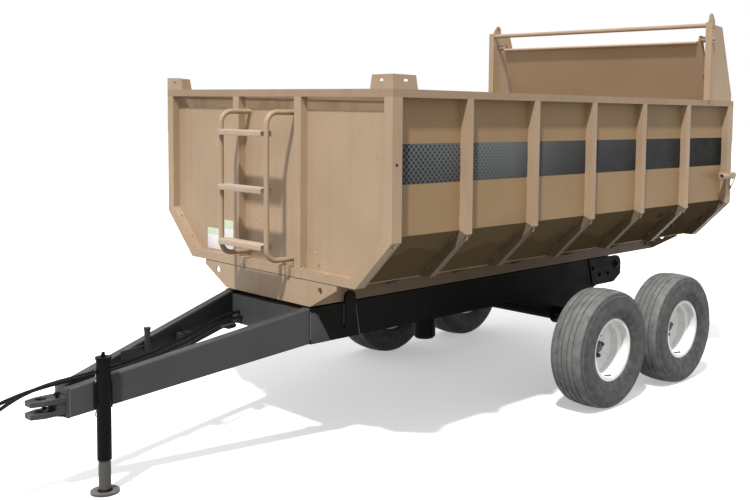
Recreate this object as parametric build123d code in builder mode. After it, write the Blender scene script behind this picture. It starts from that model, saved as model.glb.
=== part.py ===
from build123d import *
import math
import os

# A tandem-axle tipping trailer, in millimetres, +Z up with the ground at z = 0.
# The drawbar points to -Y, the tailgate to +Y, and +X is the trailer's left side.
# The origin is on the ground, midway between the drawbar's tip and the rear of the body.

os.makedirs("parts", exist_ok=True)

# Body shell
TUB_LENGTH = 3574.0
TUB_HALF_WIDTH = 1076.5
FLOOR_HALF_WIDTH = 794.0
FLOOR_Z = 978.0
KINK_Z = 1251.5
RIM_TOP = 2038.0
RIM_HEIGHT = 42.0
RIM_WIDTH = 60.0
RIM_WALL = 4.0
SHEET = 5.0

# Ribs outside the shell
RIB_DEPTH = 49.5
RIB_WIDTH = 50.0
RIB_WALL = 4.0
RIB_FIRST = 579.0
RIB_COUNT = 5
RIB_LAST_GAP = 80.0
RIB_PITCH = (TUB_LENGTH - RIB_FIRST - RIB_LAST_GAP) / RIB_COUNT
REAR_POST_WIDTH = 75.0
FRONT_POST_WIDTH = 68.0

# Front wall
FRAME_DEPTH = 50.0
FRAME_WIDTH = 65.0
FRAME_SILL = 52.0
SLOT_HEIGHT = 71.0
FRONT_RIB_CENTRE = 299.0
FRONT_RIB_WIDTH = 60.0
FRONT_RIB_PROUD = 3.0
BRACKET_LEG = 175.0
BRACKET_HEIGHT = 75.0
BRACKET_THICK = 6.0
BRACKET_SLANT = (15.0, 2.0)
BRACKET_SLOT = (34.0, 13.0)
BRACKET_SLOT_PLACE = (90.0, 45.0)

# Ladder on the front wall
LADDER_HALF = 222.0
LADDER_TUBE = 26.0
LADDER_STAND_OFF = 155.0
LADDER_TOP = 1908.0
LADDER_BOTTOM = 1076.0
LADDER_BEND = 70.0
RUNG_TOP = 1804.0
RUNG_PITCH = 318.0
RUNG_COUNT = 3
RUNG_DEPTH = 62.0
RUNG_LIP = 32.0
RUNG_WALL = 3.0
RUNG_FRONT = 188.0

# Frame under the body
TUB_BEAM_OUTER = 412.0
TUB_BEAM_DEPTH = 150.0
TUB_BEAM_FLANGE = 70.0
TUB_BEAM_WALL = 7.0
TUB_BEAM_REAR = TUB_LENGTH - 44.0
BEAM_HOLE_INSET = 109.0
BEAM_HOLE_Z = 872.0
BEAM_HOLE_R = 15.0
BOLSTER_THICK = 8.0
BOLSTER_TOP = 974.0
WING_HALF = 640.0
WING_TIP_Z = 948.0
WING_HOLE = (500.0, 930.0, 19.0)
GUSSET_THICK = 8.0
GUSSET_REACH = 250.0
GUSSET_DROP = 95.0

# Chassis
RAIL_OUTER = 410.0
RAIL_BOTTOM = 615.0
RAIL_TOP = 820.0
RAIL_FLANGE = 75.0
RAIL_WEB = 8.5
RAIL_FLANGE_THICK = 9.0
DOUBLER_THICK = 8.0
CROSSBEAM_DEPTH = 80.0
CROSSBEAM_WALL = 6.0
FRONT_BEAM_HEIGHT = 173.0
INNER_BEAM_HEIGHT = 110.0
GUIDE_Y = 281.0
GUIDE_WIDTH = 79.0
GUIDE_TOP = 886.0
GUIDE_FOOT = 675.0
GUIDE_THICK = 12.0
JOINT_PLATE_TOP = 325.0
JOINT_PLATE_FOOT = 360.0

# Tipping pivot
PIVOT_Y = TUB_LENGTH - 574.0
PIVOT_Z = 752.0
PIVOT_SHAFT = 50.0
PIVOT_FIT = 0.05
PIVOT_NOSE = 68.0
NOSE_CHAMFER = 25.0
NOSE_CHAMFER_Z = 672.0
SHAFT_PLATE_REACH = 360.0
SHAFT_PLATE_HOLES = ((300.0, 7.0), (210.0, 62.0), (100.0, 62.0))
SHAFT_PLATE_HOLE_R = 9.0
RAIL_FLANGE_REAR = PIVOT_Y - 100.0
MEMBER_WALL = 6.0
LUG_THICK = 24.0
LUG_X = 290.0
LUG_RADIUS = 48.0

# Drawbar
ARM_LENGTH = 1208.0
ARM_WIDTH = 65.0
ARM_TIP_X = 70.0
ARM_TIP_TOP = 538.0
ARM_TIP_BOTTOM = 390.0
ARM_WALL = 6.0
ARM_BEND = 10.0
NOSE_PLATE = 14.0
JAW_LENGTH = 165.0
NOSE_REACH = ARM_LENGTH + NOSE_PLATE + JAW_LENGTH
NOSE_INSET = 3.0
JAW_PLATE = 25.0
JAW_BOTTOM = 409.0
JAW_GAP = 36.0
JAW_HALF = 55.0
JAW_TIP_HALF = 32.0
JAW_TAPER = 60.0
JAW_HOLE = 50.0
JAW_HOLE_Y = NOSE_REACH - 64.0
JAW_BLOCK = 45.0

# Parking jack
JACK_Y = ARM_LENGTH - 143.5
JACK_OUTER = 70.0
JACK_INNER = 59.8
JACK_BORE = 60.0
JACK_TOP = 680.0
JACK_BOTTOM = 170.0
JACK_GAP = 6.0
JACK_FOOT = 140.0
JACK_FOOT_THICK = 12.0
JACK_LEG_TOP = 600.0
JACK_PLATE_HALF = 42.0
JACK_PLATE_BAND = (430.0, 560.0)

# Fittings on the right-hand arm
HOLDER_ALONG = 735.0
HOLDER_Z = 600.0
HOLDER_R = 16.0
HOLDER_HEIGHT = 118.0
HOLDER_PLATE = 6.0
SOCKET_ALONG = 462.0
SOCKET_Z = 572.0
SOCKET_LENGTH = 62.0
SOCKET_DEPTH = 50.0
SOCKET_HEIGHT = 78.0

# Wheels and bogie
TYRE_OD = 780.0
TYRE_WIDTH = 275.0
TREAD_HALF = 112.0
CROWN_DROP = 9.6
SHOULDER_DROP = 26.0
SHOULDER_INSET = 12.0
BEAD_R = 190.5
RIM_EDGE_R = 208.0
RIM_HALF = 104.0
RIM_SHEET = 5.0
RIM_WELL_R = 168.0
DISC_OFFSET = 52.0
DISC_THICK = 8.0
DISC_HOLE_R = 48.0
DISC_FLAT_R = 120.0
DISC_RISE = 22.0
WHEEL_X = 1054.9
AXLE_REAR_Y = PIVOT_Y - 232.0
AXLE_FRONT_Y = AXLE_REAR_Y - 877.0
HUB_FLANGE_R = 98.0
HUB_BODY_R = 56.0
HUB_NOSE_R = 42.0
HUB_INNER_X = 893.0
HUB_NOSE_X = 1048.0
SPINDLE_R = 30.0
SPINDLE_FIT = 0.05
SPINDLE_END_X = 1015.0
NUT_CIRCLE_R = 78.0
NUT_COUNT = 6
NUT_AF = 27.0
NUT_HEIGHT = 16.0
STUD_R = 8.0
STUD_HOLE_R = 9.0
BEAM_INNER_X = 800.0
BEAM_OUTER_X = 868.0
BEAM_END_R = 46.0
BOGIE_Z = 450.0
BOGIE_BOSS_R = 72.0
BOGIE_TUBE_R = 50.0
BOGIE_TUBE_BORE_R = 40.0
HANGER_THICK = 12.0
HANGER_FRONT_Y = AXLE_FRONT_Y - 131.0
HANGER_REAR_Y = RAIL_FLANGE_REAR

# Telescopic ram
RAM_Y = 1310.0
RAM_PIVOT_Z = 700.0
RAM_EYE_Z = 915.0
RAM_BOTTOM = 372.0
RAM_TOP = 862.0
RAM_BARREL_R = 75.0
RAM_STEP = 10.0
RAM_WALL = 6.0
RAM_STAGES = 4
RAM_FIT = 0.05
RAM_COLLAR_R = 90.0
RAM_COLLAR_HEIGHT = 70.0
TRUNNION_R = 25.0
CRADLE_X = 112.0
CRADLE_THICK = 18.0
CRADLE_HALF_GAP = 260.0
RAM_EYE_R = 27.0
RAM_EYE_HALF = 28.0
RAM_EAR_GAP = 5.0
RAM_EAR_THICK = 18.0
RAM_EAR_DROP = 92.0
RAM_EAR_HALF = 25.0
RAM_MEMBER_OFFSET = 125.0
RAM_MEMBER_WIDTH = 60.0

# Tailgate and its posts
GATE_TOP = 2479.0
POST_FRONT_Y = TUB_LENGTH - 408.0
POST_TOP = GATE_TOP + 133.0
POST_SHOULDER = (232.0, 21.0)
POST_HEEL = 46.0
POST_FLANGE = (1045.0, 1098.0)
POST_FLANGE_THICK = 6.0
POST_PLATE_X = 1050.0
POST_PLATE_THICK = 6.0
LUG_EYE = (68.0, 35.0, 34.0, 13.0)
HINGE_Y = TUB_LENGTH - 330.0
HINGE_Z = GATE_TOP + 12.0
HINGE_PIN_R = 12.5
HINGE_FIT = 0.05
HINGE_PIN_END = 1082.0
CROSSTUBE_Y = TUB_LENGTH - 384.0
CROSSTUBE_Z = GATE_TOP + 111.0
CROSSTUBE_R = 17.0
GATE_KINK_Z = 1599.0
GATE_LEAN = 0.3307
GATE_REAR_Y = TUB_LENGTH - 14.0
GATE_TOP_Y = GATE_REAR_Y - (GATE_TOP - GATE_KINK_Z) * GATE_LEAN
GATE_DEPTH = 56.0
GATE_SKIN = 5.0
GATE_SIDE_GAP = 16.5
GATE_FLOOR_GAP = 7.0
GATE_TOP_HALF = 958.0
GATE_BORDER = 48.0
GATE_BAR = 50.0
GATE_COLUMNS = 3
GATE_ARM_X = 1000.0
GATE_ARM_THICK = 14.0
GATE_ARM_DROP = 0.567 * (GATE_TOP - RIM_TOP)

# Tailgate latches on the rear posts
LATCH_Z = 1462.0
LATCH_FRONT = 194.0
LATCH_TUBE = (3.0, 90.0)
LATCH_R = 21.0
LATCH_BORE_R = 16.5
LATCH_PLATE = 4.0
LATCH_PLATE_HALF = 30.0

# Hoses
HOSE_R = 9.5
COUPLER_R = 15.0
COUPLER_LENGTH = 62.0

FRONT_Y = (NOSE_REACH - TUB_LENGTH) / 2
RIM_BOTTOM = RIM_TOP - RIM_HEIGHT
SLOPE = math.atan2(TUB_HALF_WIDTH - FLOOR_HALF_WIDTH, KINK_Z - FLOOR_Z)


def write_piece(piece, node):
    """Label a finished sub-part and write it to a STEP file of its own."""
    piece.part.label = node
    export_step(piece.part, f"parts/{node}.step")


def outline(points):
    """Draw one closed, straight-edged outline in the current sketch."""
    Polygon(*points, align=None)


def cross_section(rear):
    """Plane across the trailer at a distance behind the front wall; extrusion runs forwards."""
    return Plane(origin=(0, FRONT_Y + rear, 0), x_dir=(1, 0, 0), z_dir=(0, -1, 0))


def side_view(x):
    """Plane along the trailer at x, measured from the front wall; extrusion runs to +X."""
    return Plane(origin=(x, FRONT_Y, 0), x_dir=(0, 1, 0), z_dir=(1, 0, 0))


def plan_view(z):
    """Level plane at z, measured from the front wall; extrusion runs up."""
    return Plane(origin=(0, FRONT_Y, z), x_dir=(1, 0, 0), z_dir=(0, 0, 1))


def slope_x(depth, z):
    """Half width of the sloping side at height z, for a surface this deep inside the rib faces."""
    return FLOOR_HALF_WIDTH + (z - FLOOR_Z) * math.tan(SLOPE) - depth / math.cos(SLOPE)


def kink(depth):
    """Point where slope and upright meet, for a surface this deep inside the rib faces."""
    return (TUB_HALF_WIDTH - depth, KINK_Z + depth * math.tan(SLOPE / 2))


def upright_band(outer, inner, top):
    """Section of the upright side between two depths, mitred at the kink."""
    return [kink(outer), (TUB_HALF_WIDTH - outer, top), (TUB_HALF_WIDTH - inner, top), kink(inner)]


def slope_band(outer, inner, bottom):
    """Section of the sloping side between two depths, mitred at the kink."""
    return [(slope_x(outer, bottom), bottom), kink(outer), kink(inner), (slope_x(inner, bottom), bottom)]


def body_outline(depth, bottom, top):
    """Whole section of the body at a depth inside the rib faces."""
    left = [(slope_x(depth, bottom), bottom), kink(depth), (TUB_HALF_WIDTH - depth, top)]
    return left + [(-x, z) for x, z in reversed(left)]


# Floor sheet, from the front wall's back to the rear edge
shell_length = TUB_LENGTH - FRAME_DEPTH
floor_top = FLOOR_Z + SHEET
floor_edge = slope_x(RIB_DEPTH, FLOOR_Z)
floor_edge_top = slope_x(RIB_DEPTH, floor_top)
with BuildPart() as tub_floor:
    with BuildSketch(cross_section(TUB_LENGTH)):
        outline([(-floor_edge, FLOOR_Z), (floor_edge, FLOOR_Z), (floor_edge_top, floor_top),
                 (-floor_edge_top, floor_top)])
    extrude(amount=shell_length)
write_piece(tub_floor, "tub_floor")

# Upright and sloping side sheets, mitred where they meet
with BuildPart() as side_sheets:
    with BuildSketch(cross_section(TUB_LENGTH)):
        outline(upright_band(RIB_DEPTH, RIB_DEPTH + SHEET, RIM_BOTTOM))
        mirror(about=Plane.YZ)
    extrude(amount=shell_length)
write_piece(side_sheets, "side_sheets")

with BuildPart() as slope_sheets:
    with BuildSketch(cross_section(TUB_LENGTH)):
        outline(slope_band(RIB_DEPTH, RIB_DEPTH + SHEET, floor_top))
        mirror(about=Plane.YZ)
    extrude(amount=shell_length)
write_piece(slope_sheets, "slope_sheets")

# Rear edges and widths of everything that stands proud of the side sheets
rib_spans = [(RIB_FIRST + i * RIB_PITCH + RIB_WIDTH / 2, RIB_WIDTH) for i in range(RIB_COUNT)]
post_spans = [(FRONT_POST_WIDTH, FRONT_POST_WIDTH - FRAME_DEPTH), (TUB_LENGTH, REAR_POST_WIDTH)]


# Ribs are folded channels, open to the sheet; the end posts are full bars
rib_bands = {
    "side_ribs": (upright_band, RIM_BOTTOM),
    "slope_ribs": (slope_band, FLOOR_Z),
}
for node, (band, end_z) in rib_bands.items():
    with BuildPart() as ribs:
        for rear, width in rib_spans:
            with BuildSketch(cross_section(rear)):
                outline(band(0, RIB_DEPTH, end_z))
            extrude(amount=width)
            with BuildSketch(cross_section(rear - RIB_WALL)):
                outline(band(RIB_WALL, RIB_DEPTH, end_z))
            extrude(amount=width - 2 * RIB_WALL, mode=Mode.SUBTRACT)
        for rear, width in post_spans:
            with BuildSketch(cross_section(rear)):
                outline(band(0, RIB_DEPTH, end_z))
            extrude(amount=width)
        mirror(about=Plane.YZ)
    write_piece(ribs, node)

# Front wall: a sheet set back in a frame, with a viewing slot under the rim
pocket_half_top = TUB_HALF_WIDTH - FRAME_WIDTH
slot_bottom = RIM_BOTTOM - SLOT_HEIGHT
with BuildPart() as front_wall:
    with BuildSketch(cross_section(FRAME_DEPTH)):
        outline(body_outline(0, FLOOR_Z, RIM_BOTTOM))
    extrude(amount=FRAME_DEPTH)
    with BuildSketch(cross_section(FRAME_DEPTH - SHEET)):
        outline(body_outline(FRAME_WIDTH, FLOOR_Z + FRAME_SILL, RIM_BOTTOM))
    extrude(amount=FRAME_DEPTH, mode=Mode.SUBTRACT)
    with BuildSketch(cross_section(FRAME_DEPTH)):
        with Locations((0, slot_bottom + SLOT_HEIGHT / 2)):
            Rectangle(2 * pocket_half_top, SLOT_HEIGHT)
    extrude(amount=FRAME_DEPTH, mode=Mode.SUBTRACT)
write_piece(front_wall, "front_wall")

# Two front ribs that stand proud of the frame and step over its sill
rib_back = FRAME_DEPTH - SHEET
with BuildPart() as front_ribs:
    with BuildSketch(side_view(FRONT_RIB_CENTRE - FRONT_RIB_WIDTH / 2)):
        outline([(rib_back, RIM_BOTTOM), (-FRONT_RIB_PROUD, RIM_BOTTOM), (-FRONT_RIB_PROUD, FLOOR_Z),
                 (0, FLOOR_Z), (0, FLOOR_Z + FRAME_SILL), (rib_back, FLOOR_Z + FRAME_SILL)])
    extrude(amount=FRONT_RIB_WIDTH)
    mirror(about=Plane.YZ)
write_piece(front_ribs, "front_ribs")

# Rim: one rectangular tube round the front and both sides, open at its rear ends
with BuildPart() as rim_rail:
    for inset, mode in ((0, Mode.ADD), (RIM_WALL, Mode.SUBTRACT)):
        outer = TUB_HALF_WIDTH - inset
        inner = TUB_HALF_WIDTH - RIM_WIDTH + inset
        with BuildSketch(plan_view(RIM_BOTTOM + inset)):
            outline([(-outer, TUB_LENGTH), (-outer, inset), (outer, inset), (outer, TUB_LENGTH),
                     (inner, TUB_LENGTH), (inner, RIM_WIDTH - inset), (-inner, RIM_WIDTH - inset),
                     (-inner, TUB_LENGTH)])
        extrude(amount=RIM_HEIGHT - 2 * inset, mode=mode)
write_piece(rim_rail, "rim_rail")

# Corner brackets: two tapered legs with a slot each, folded round the front corners
bracket_top = RIM_TOP + BRACKET_HEIGHT
slot_length, slot_width = BRACKET_SLOT
slot_from_corner, slot_up = BRACKET_SLOT_PLACE
slant_along, slant_down = BRACKET_SLANT


def bracket_leg(sign):
    """Draw a leg that runs from the folded corner, in the direction given by the sign."""
    outline([(0, RIM_TOP), (0, bracket_top),
             (sign * (BRACKET_LEG - slant_along), bracket_top - slant_down), (sign * BRACKET_LEG, RIM_TOP)])
    with Locations((sign * slot_from_corner, RIM_TOP + slot_up)):
        SlotOverall(slot_length, slot_width, mode=Mode.SUBTRACT)


with BuildPart() as corner_brackets:
    with BuildSketch(Plane(origin=(TUB_HALF_WIDTH, FRONT_Y + BRACKET_THICK, 0), x_dir=(1, 0, 0),
                           z_dir=(0, -1, 0))):
        bracket_leg(-1)
    extrude(amount=BRACKET_THICK)
    with BuildSketch(side_view(TUB_HALF_WIDTH - BRACKET_THICK)):
        bracket_leg(1)
    extrude(amount=BRACKET_THICK)
    mirror(about=Plane.YZ)
write_piece(corner_brackets, "corner_brackets")

# Ladder: two bent tubes that return to the front wall, and folded rungs between them
wall_face = FRAME_DEPTH - SHEET
with BuildPart() as ladder_rails:
    with BuildLine(side_view(LADDER_HALF)) as rail_path:
        FilletPolyline((wall_face, LADDER_TOP), (-LADDER_STAND_OFF, LADDER_TOP),
                       (-LADDER_STAND_OFF, LADDER_BOTTOM), (wall_face, LADDER_BOTTOM), radius=LADDER_BEND)
    with BuildSketch(Plane(origin=rail_path.line @ 0, z_dir=rail_path.line % 0)):
        Circle(LADDER_TUBE / 2)
    sweep(path=rail_path.line)
    mirror(about=Plane.YZ)
write_piece(ladder_rails, "ladder_rails")

rung_half = LADDER_HALF - LADDER_TUBE / 2
with BuildPart() as ladder_rungs:
    for i in range(RUNG_COUNT):
        top = RUNG_TOP - i * RUNG_PITCH
        rear = RUNG_DEPTH - RUNG_FRONT
        with BuildSketch(side_view(-rung_half)):
            outline([(-RUNG_FRONT, top), (rear, top), (rear, top - RUNG_LIP),
                     (rear - RUNG_WALL, top - RUNG_LIP), (rear - RUNG_WALL, top - RUNG_WALL),
                     (RUNG_WALL - RUNG_FRONT, top - RUNG_WALL), (RUNG_WALL - RUNG_FRONT, top - RUNG_LIP),
                     (-RUNG_FRONT, top - RUNG_LIP)])
        extrude(amount=2 * rung_half)
write_piece(ladder_rungs, "ladder_rungs")

# Two channel beams under the floor, open inwards
beam_bottom = FLOOR_Z - TUB_BEAM_DEPTH
with BuildPart() as tub_beams:
    with BuildSketch(cross_section(TUB_BEAM_REAR)):
        inner = TUB_BEAM_OUTER - TUB_BEAM_FLANGE
        web = TUB_BEAM_OUTER - TUB_BEAM_WALL
        outline([(inner, beam_bottom), (TUB_BEAM_OUTER, beam_bottom), (TUB_BEAM_OUTER, FLOOR_Z),
                 (inner, FLOOR_Z), (inner, FLOOR_Z - TUB_BEAM_WALL), (web, FLOOR_Z - TUB_BEAM_WALL),
                 (web, beam_bottom + TUB_BEAM_WALL), (inner, beam_bottom + TUB_BEAM_WALL)])
    extrude(amount=TUB_BEAM_REAR - BOLSTER_THICK)
    with BuildSketch(side_view(web)):
        with Locations((TUB_BEAM_REAR - BEAM_HOLE_INSET, BEAM_HOLE_Z)):
            Circle(BEAM_HOLE_R)
    extrude(amount=TUB_BEAM_WALL, mode=Mode.SUBTRACT)
    mirror(about=Plane.YZ)
write_piece(tub_beams, "tub_beams")

# Cross plates at both ends of the beams, with tapered wings and a hole in each wing
hole_x, hole_z, hole_r = WING_HOLE
left_wing = [(TUB_BEAM_OUTER, beam_bottom), (WING_HALF, WING_TIP_Z), (WING_HALF, BOLSTER_TOP)]
with BuildPart() as bolsters:
    for rear in (BOLSTER_THICK, TUB_BEAM_REAR + BOLSTER_THICK):
        with BuildSketch(cross_section(rear)):
            outline(left_wing + [(-x, z) for x, z in reversed(left_wing)])
            with Locations((hole_x, hole_z), (-hole_x, hole_z)):
                Circle(hole_r, mode=Mode.SUBTRACT)
        extrude(amount=BOLSTER_THICK)
write_piece(bolsters, "bolsters")

# Gussets that carry the floor's edge from the beams at every rib
with BuildPart() as floor_gussets:
    for rear, width in rib_spans:
        with BuildSketch(cross_section(rear - (width - GUSSET_THICK) / 2)):
            outline([(TUB_BEAM_OUTER, FLOOR_Z), (TUB_BEAM_OUTER + GUSSET_REACH, FLOOR_Z),
                     (TUB_BEAM_OUTER, FLOOR_Z - GUSSET_DROP)])
        extrude(amount=GUSSET_THICK)
    mirror(about=Plane.YZ)
write_piece(floor_gussets, "floor_gussets")

# Box members between the body's beams: one over the tipping shaft and two beside the ram's eye
member_half = TUB_BEAM_OUTER - TUB_BEAM_WALL
member_bottom = beam_bottom + TUB_BEAM_WALL
member_top = FLOOR_Z - TUB_BEAM_WALL
member_mid = (member_bottom + member_top) / 2
members = [(PIVOT_Y, 2 * LUG_RADIUS), (RAM_Y - RAM_MEMBER_OFFSET, RAM_MEMBER_WIDTH),
           (RAM_Y + RAM_MEMBER_OFFSET, RAM_MEMBER_WIDTH)]
with BuildPart() as tub_crossmembers:
    for y, width in members:
        for wall, mode in ((0, Mode.ADD), (MEMBER_WALL, Mode.SUBTRACT)):
            with BuildSketch(side_view(-member_half)):
                with Locations((y, member_mid)):
                    Rectangle(width - 2 * wall, member_top - member_bottom - 2 * wall)
            extrude(amount=2 * member_half, mode=mode)
write_piece(tub_crossmembers, "tub_crossmembers")

# Tipping lugs: plates that hang from the rear member and turn on the shaft
with BuildPart() as tipping_lugs:
    with BuildSketch(side_view(LUG_X)):
        with Locations((PIVOT_Y, PIVOT_Z)):
            Circle(LUG_RADIUS)
        with Locations((PIVOT_Y, (PIVOT_Z + member_bottom) / 2)):
            Rectangle(2 * LUG_RADIUS, member_bottom - PIVOT_Z)
        with Locations((PIVOT_Y, PIVOT_Z)):
            Circle(PIVOT_SHAFT / 2 + PIVOT_FIT, mode=Mode.SUBTRACT)
    extrude(amount=LUG_THICK)
    mirror(about=Plane.YZ)
write_piece(tipping_lugs, "tipping_lugs")

# Chassis rails: channels open inwards, whose webs run on to a rounded nose at the shaft
nose_rear = PIVOT_Y + PIVOT_NOSE
with BuildPart() as chassis_rails:
    with BuildSketch(side_view(RAIL_OUTER - RAIL_WEB)):
        with BuildLine():
            Polyline((PIVOT_Y, RAIL_TOP), (0, RAIL_TOP), (0, RAIL_BOTTOM),
                     (PIVOT_Y - NOSE_CHAMFER, RAIL_BOTTOM), (nose_rear, NOSE_CHAMFER_Z), (nose_rear, PIVOT_Z))
            RadiusArc((nose_rear, PIVOT_Z), (PIVOT_Y, RAIL_TOP), -PIVOT_NOSE)
        make_face()
        with Locations((PIVOT_Y, PIVOT_Z)):
            Circle(PIVOT_SHAFT / 2, mode=Mode.SUBTRACT)
    extrude(amount=RAIL_WEB)
    for z in (RAIL_BOTTOM, RAIL_TOP - RAIL_FLANGE_THICK):
        with BuildSketch(plan_view(z)):
            with Locations((RAIL_OUTER - RAIL_FLANGE / 2, RAIL_FLANGE_REAR / 2)):
                Rectangle(RAIL_FLANGE, RAIL_FLANGE_REAR)
        extrude(amount=RAIL_FLANGE_THICK)
    mirror(about=Plane.YZ)
write_piece(chassis_rails, "chassis_rails")

# Plates on the rails' outer faces: one over the drawbar joint and one round the shaft
with BuildPart() as rail_plates:
    with BuildSketch(side_view(RAIL_OUTER)):
        outline([(0, RAIL_BOTTOM), (0, RAIL_TOP), (JOINT_PLATE_TOP, RAIL_TOP),
                 (JOINT_PLATE_FOOT, RAIL_BOTTOM)])
        with BuildLine():
            Polyline((PIVOT_Y, RAIL_TOP), (PIVOT_Y - SHAFT_PLATE_REACH, RAIL_TOP),
                     (PIVOT_Y - SHAFT_PLATE_REACH + 60, RAIL_BOTTOM),
                     (PIVOT_Y - NOSE_CHAMFER, RAIL_BOTTOM), (nose_rear, NOSE_CHAMFER_Z),
                     (nose_rear, PIVOT_Z))
            RadiusArc((nose_rear, PIVOT_Z), (PIVOT_Y, RAIL_TOP), -PIVOT_NOSE)
        make_face()
        with Locations((PIVOT_Y, PIVOT_Z)):
            Circle(PIVOT_SHAFT / 2, mode=Mode.SUBTRACT)
        with Locations(*[(PIVOT_Y - ahead, PIVOT_Z - below) for ahead, below in SHAFT_PLATE_HOLES]):
            Circle(SHAFT_PLATE_HOLE_R, mode=Mode.SUBTRACT)
    extrude(amount=DOUBLER_THICK)
    mirror(about=Plane.YZ)
write_piece(rail_plates, "rail_plates")

# Guide tabs that keep the lowered body between them
with BuildPart() as guide_tabs:
    with BuildSketch(side_view(RAIL_OUTER + DOUBLER_THICK)):
        with Locations((GUIDE_Y, GUIDE_TOP - GUIDE_WIDTH / 2)):
            Circle(GUIDE_WIDTH / 2)
        with Locations((GUIDE_Y, (GUIDE_TOP - GUIDE_WIDTH / 2 + GUIDE_FOOT) / 2)):
            Rectangle(GUIDE_WIDTH, GUIDE_TOP - GUIDE_WIDTH / 2 - GUIDE_FOOT)
    extrude(amount=GUIDE_THICK)
    mirror(about=Plane.YZ)
write_piece(guide_tabs, "guide_tabs")

# Crossbeams between the rails' webs
beam_half = RAIL_OUTER - RAIL_WEB
crossbeam_floor = RAIL_BOTTOM + RAIL_FLANGE_THICK
crossbeams = [(0, crossbeam_floor, FRONT_BEAM_HEIGHT)]
crossbeams += [(y, crossbeam_floor, INNER_BEAM_HEIGHT)
               for y in (RAM_Y - CRADLE_HALF_GAP, RAM_Y + CRADLE_HALF_GAP - CROSSBEAM_DEPTH,
                         PIVOT_Y - 710.0, PIVOT_Y - 220.0)]
with BuildPart() as chassis_crossbeams:
    for front, bottom, height in crossbeams:
        for wall, mode in ((0, Mode.ADD), (CROSSBEAM_WALL, Mode.SUBTRACT)):
            with BuildSketch(side_view(-beam_half)):
                with Locations((front + CROSSBEAM_DEPTH / 2, bottom + height / 2)):
                    Rectangle(CROSSBEAM_DEPTH - 2 * wall, height - 2 * wall)
            extrude(amount=2 * beam_half, mode=mode)
write_piece(chassis_crossbeams, "chassis_crossbeams")

# Shaft that the body tips on, flush with the rails' end plates
with BuildPart() as tipping_shaft:
    with BuildSketch(side_view(-RAIL_OUTER - DOUBLER_THICK)):
        with Locations((PIVOT_Y, PIVOT_Z)):
            Circle(PIVOT_SHAFT / 2)
    extrude(amount=2 * (RAIL_OUTER + DOUBLER_THICK))
write_piece(tipping_shaft, "tipping_shaft")

# Drawbar arms: tapered boxes from the rails' front ends to the nose, open at the rear
arm_run = RAIL_OUTER - ARM_TIP_X
arm_angle = math.atan2(arm_run, ARM_LENGTH)
arm_forward = (-math.sin(arm_angle), -math.cos(arm_angle), 0)
arm_inward = (-math.cos(arm_angle), math.sin(arm_angle), 0)
arm_span = ARM_LENGTH / math.cos(arm_angle)
arm_spare = ARM_WIDTH


def arm_height(edge_rear, edge_tip, s):
    """Height of an arm's edge at a distance s along it from its rear end."""
    return edge_rear + (edge_tip - edge_rear) * s / arm_span


def arm_outline(wall, rear, front):
    """Side outline of an arm between two distances along it, inside its wall."""
    top = [(s, arm_height(RAIL_TOP, ARM_TIP_TOP, s) - wall) for s in (rear, front)]
    foot = [(s, arm_height(RAIL_BOTTOM, ARM_TIP_BOTTOM, s) + wall) for s in (front, rear)]
    outline(top + foot)


def arm_plane(inset):
    """Upright plane in an arm, this far inside its outer face; extrusion runs inwards."""
    dx, dy, _ = arm_inward
    return Plane(origin=(RAIL_OUTER + inset * dx, FRONT_Y + inset * dy, 0), x_dir=arm_forward,
                 z_dir=arm_inward)


with BuildPart() as drawbar_arms:
    with BuildSketch(arm_plane(0)):
        arm_outline(0, -arm_spare, arm_span + arm_spare)
    extrude(amount=ARM_WIDTH)
    long_edges = drawbar_arms.edges().filter_by(lambda edge: edge.length > arm_span)
    fillet(long_edges, radius=ARM_BEND)
    with BuildSketch(arm_plane(ARM_WALL)):
        arm_outline(ARM_WALL, -arm_spare, arm_span - 2 * ARM_WALL)
    extrude(amount=ARM_WIDTH - 2 * ARM_WALL, mode=Mode.SUBTRACT)
    split(bisect_by=Plane(origin=(0, FRONT_Y, 0), z_dir=(0, -1, 0)), keep=Keep.TOP)
    split(bisect_by=Plane(origin=(0, FRONT_Y - ARM_LENGTH, 0), z_dir=(0, 1, 0)), keep=Keep.TOP)
    mirror(about=Plane.YZ)
write_piece(drawbar_arms, "drawbar_arms")

# Hitch: a nose plate across the arms' tips with a block on it, and two tapered jaw plates
jaw_top = JAW_BOTTOM + 2 * JAW_PLATE + JAW_GAP
nose_front = ARM_LENGTH + NOSE_PLATE
with BuildPart() as hitch_nose:
    with BuildSketch(cross_section(-ARM_LENGTH)):
        with Locations((0, (ARM_TIP_TOP + ARM_TIP_BOTTOM) / 2)):
            Rectangle(2 * (ARM_TIP_X - NOSE_INSET), ARM_TIP_TOP - ARM_TIP_BOTTOM)
    extrude(amount=NOSE_PLATE)
    with BuildSketch(cross_section(-nose_front)):
        with Locations((0, JAW_BOTTOM + JAW_PLATE + JAW_GAP / 2)):
            Rectangle(2 * (JAW_HALF - NOSE_INSET), JAW_GAP)
    extrude(amount=JAW_BLOCK)
write_piece(hitch_nose, "hitch_nose")

with BuildPart() as hitch_jaws:
    for z in (JAW_BOTTOM, jaw_top - JAW_PLATE):
        with BuildSketch(plan_view(z)):
            outline([(-JAW_HALF, -nose_front), (JAW_HALF, -nose_front), (JAW_HALF, JAW_TAPER - NOSE_REACH),
                     (JAW_TIP_HALF, -NOSE_REACH), (-JAW_TIP_HALF, -NOSE_REACH),
                     (-JAW_HALF, JAW_TAPER - NOSE_REACH)])
            with Locations((0, -JAW_HOLE_Y)):
                Circle(JAW_HOLE / 2, mode=Mode.SUBTRACT)
        extrude(amount=JAW_PLATE)
write_piece(hitch_jaws, "hitch_jaws")

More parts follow.
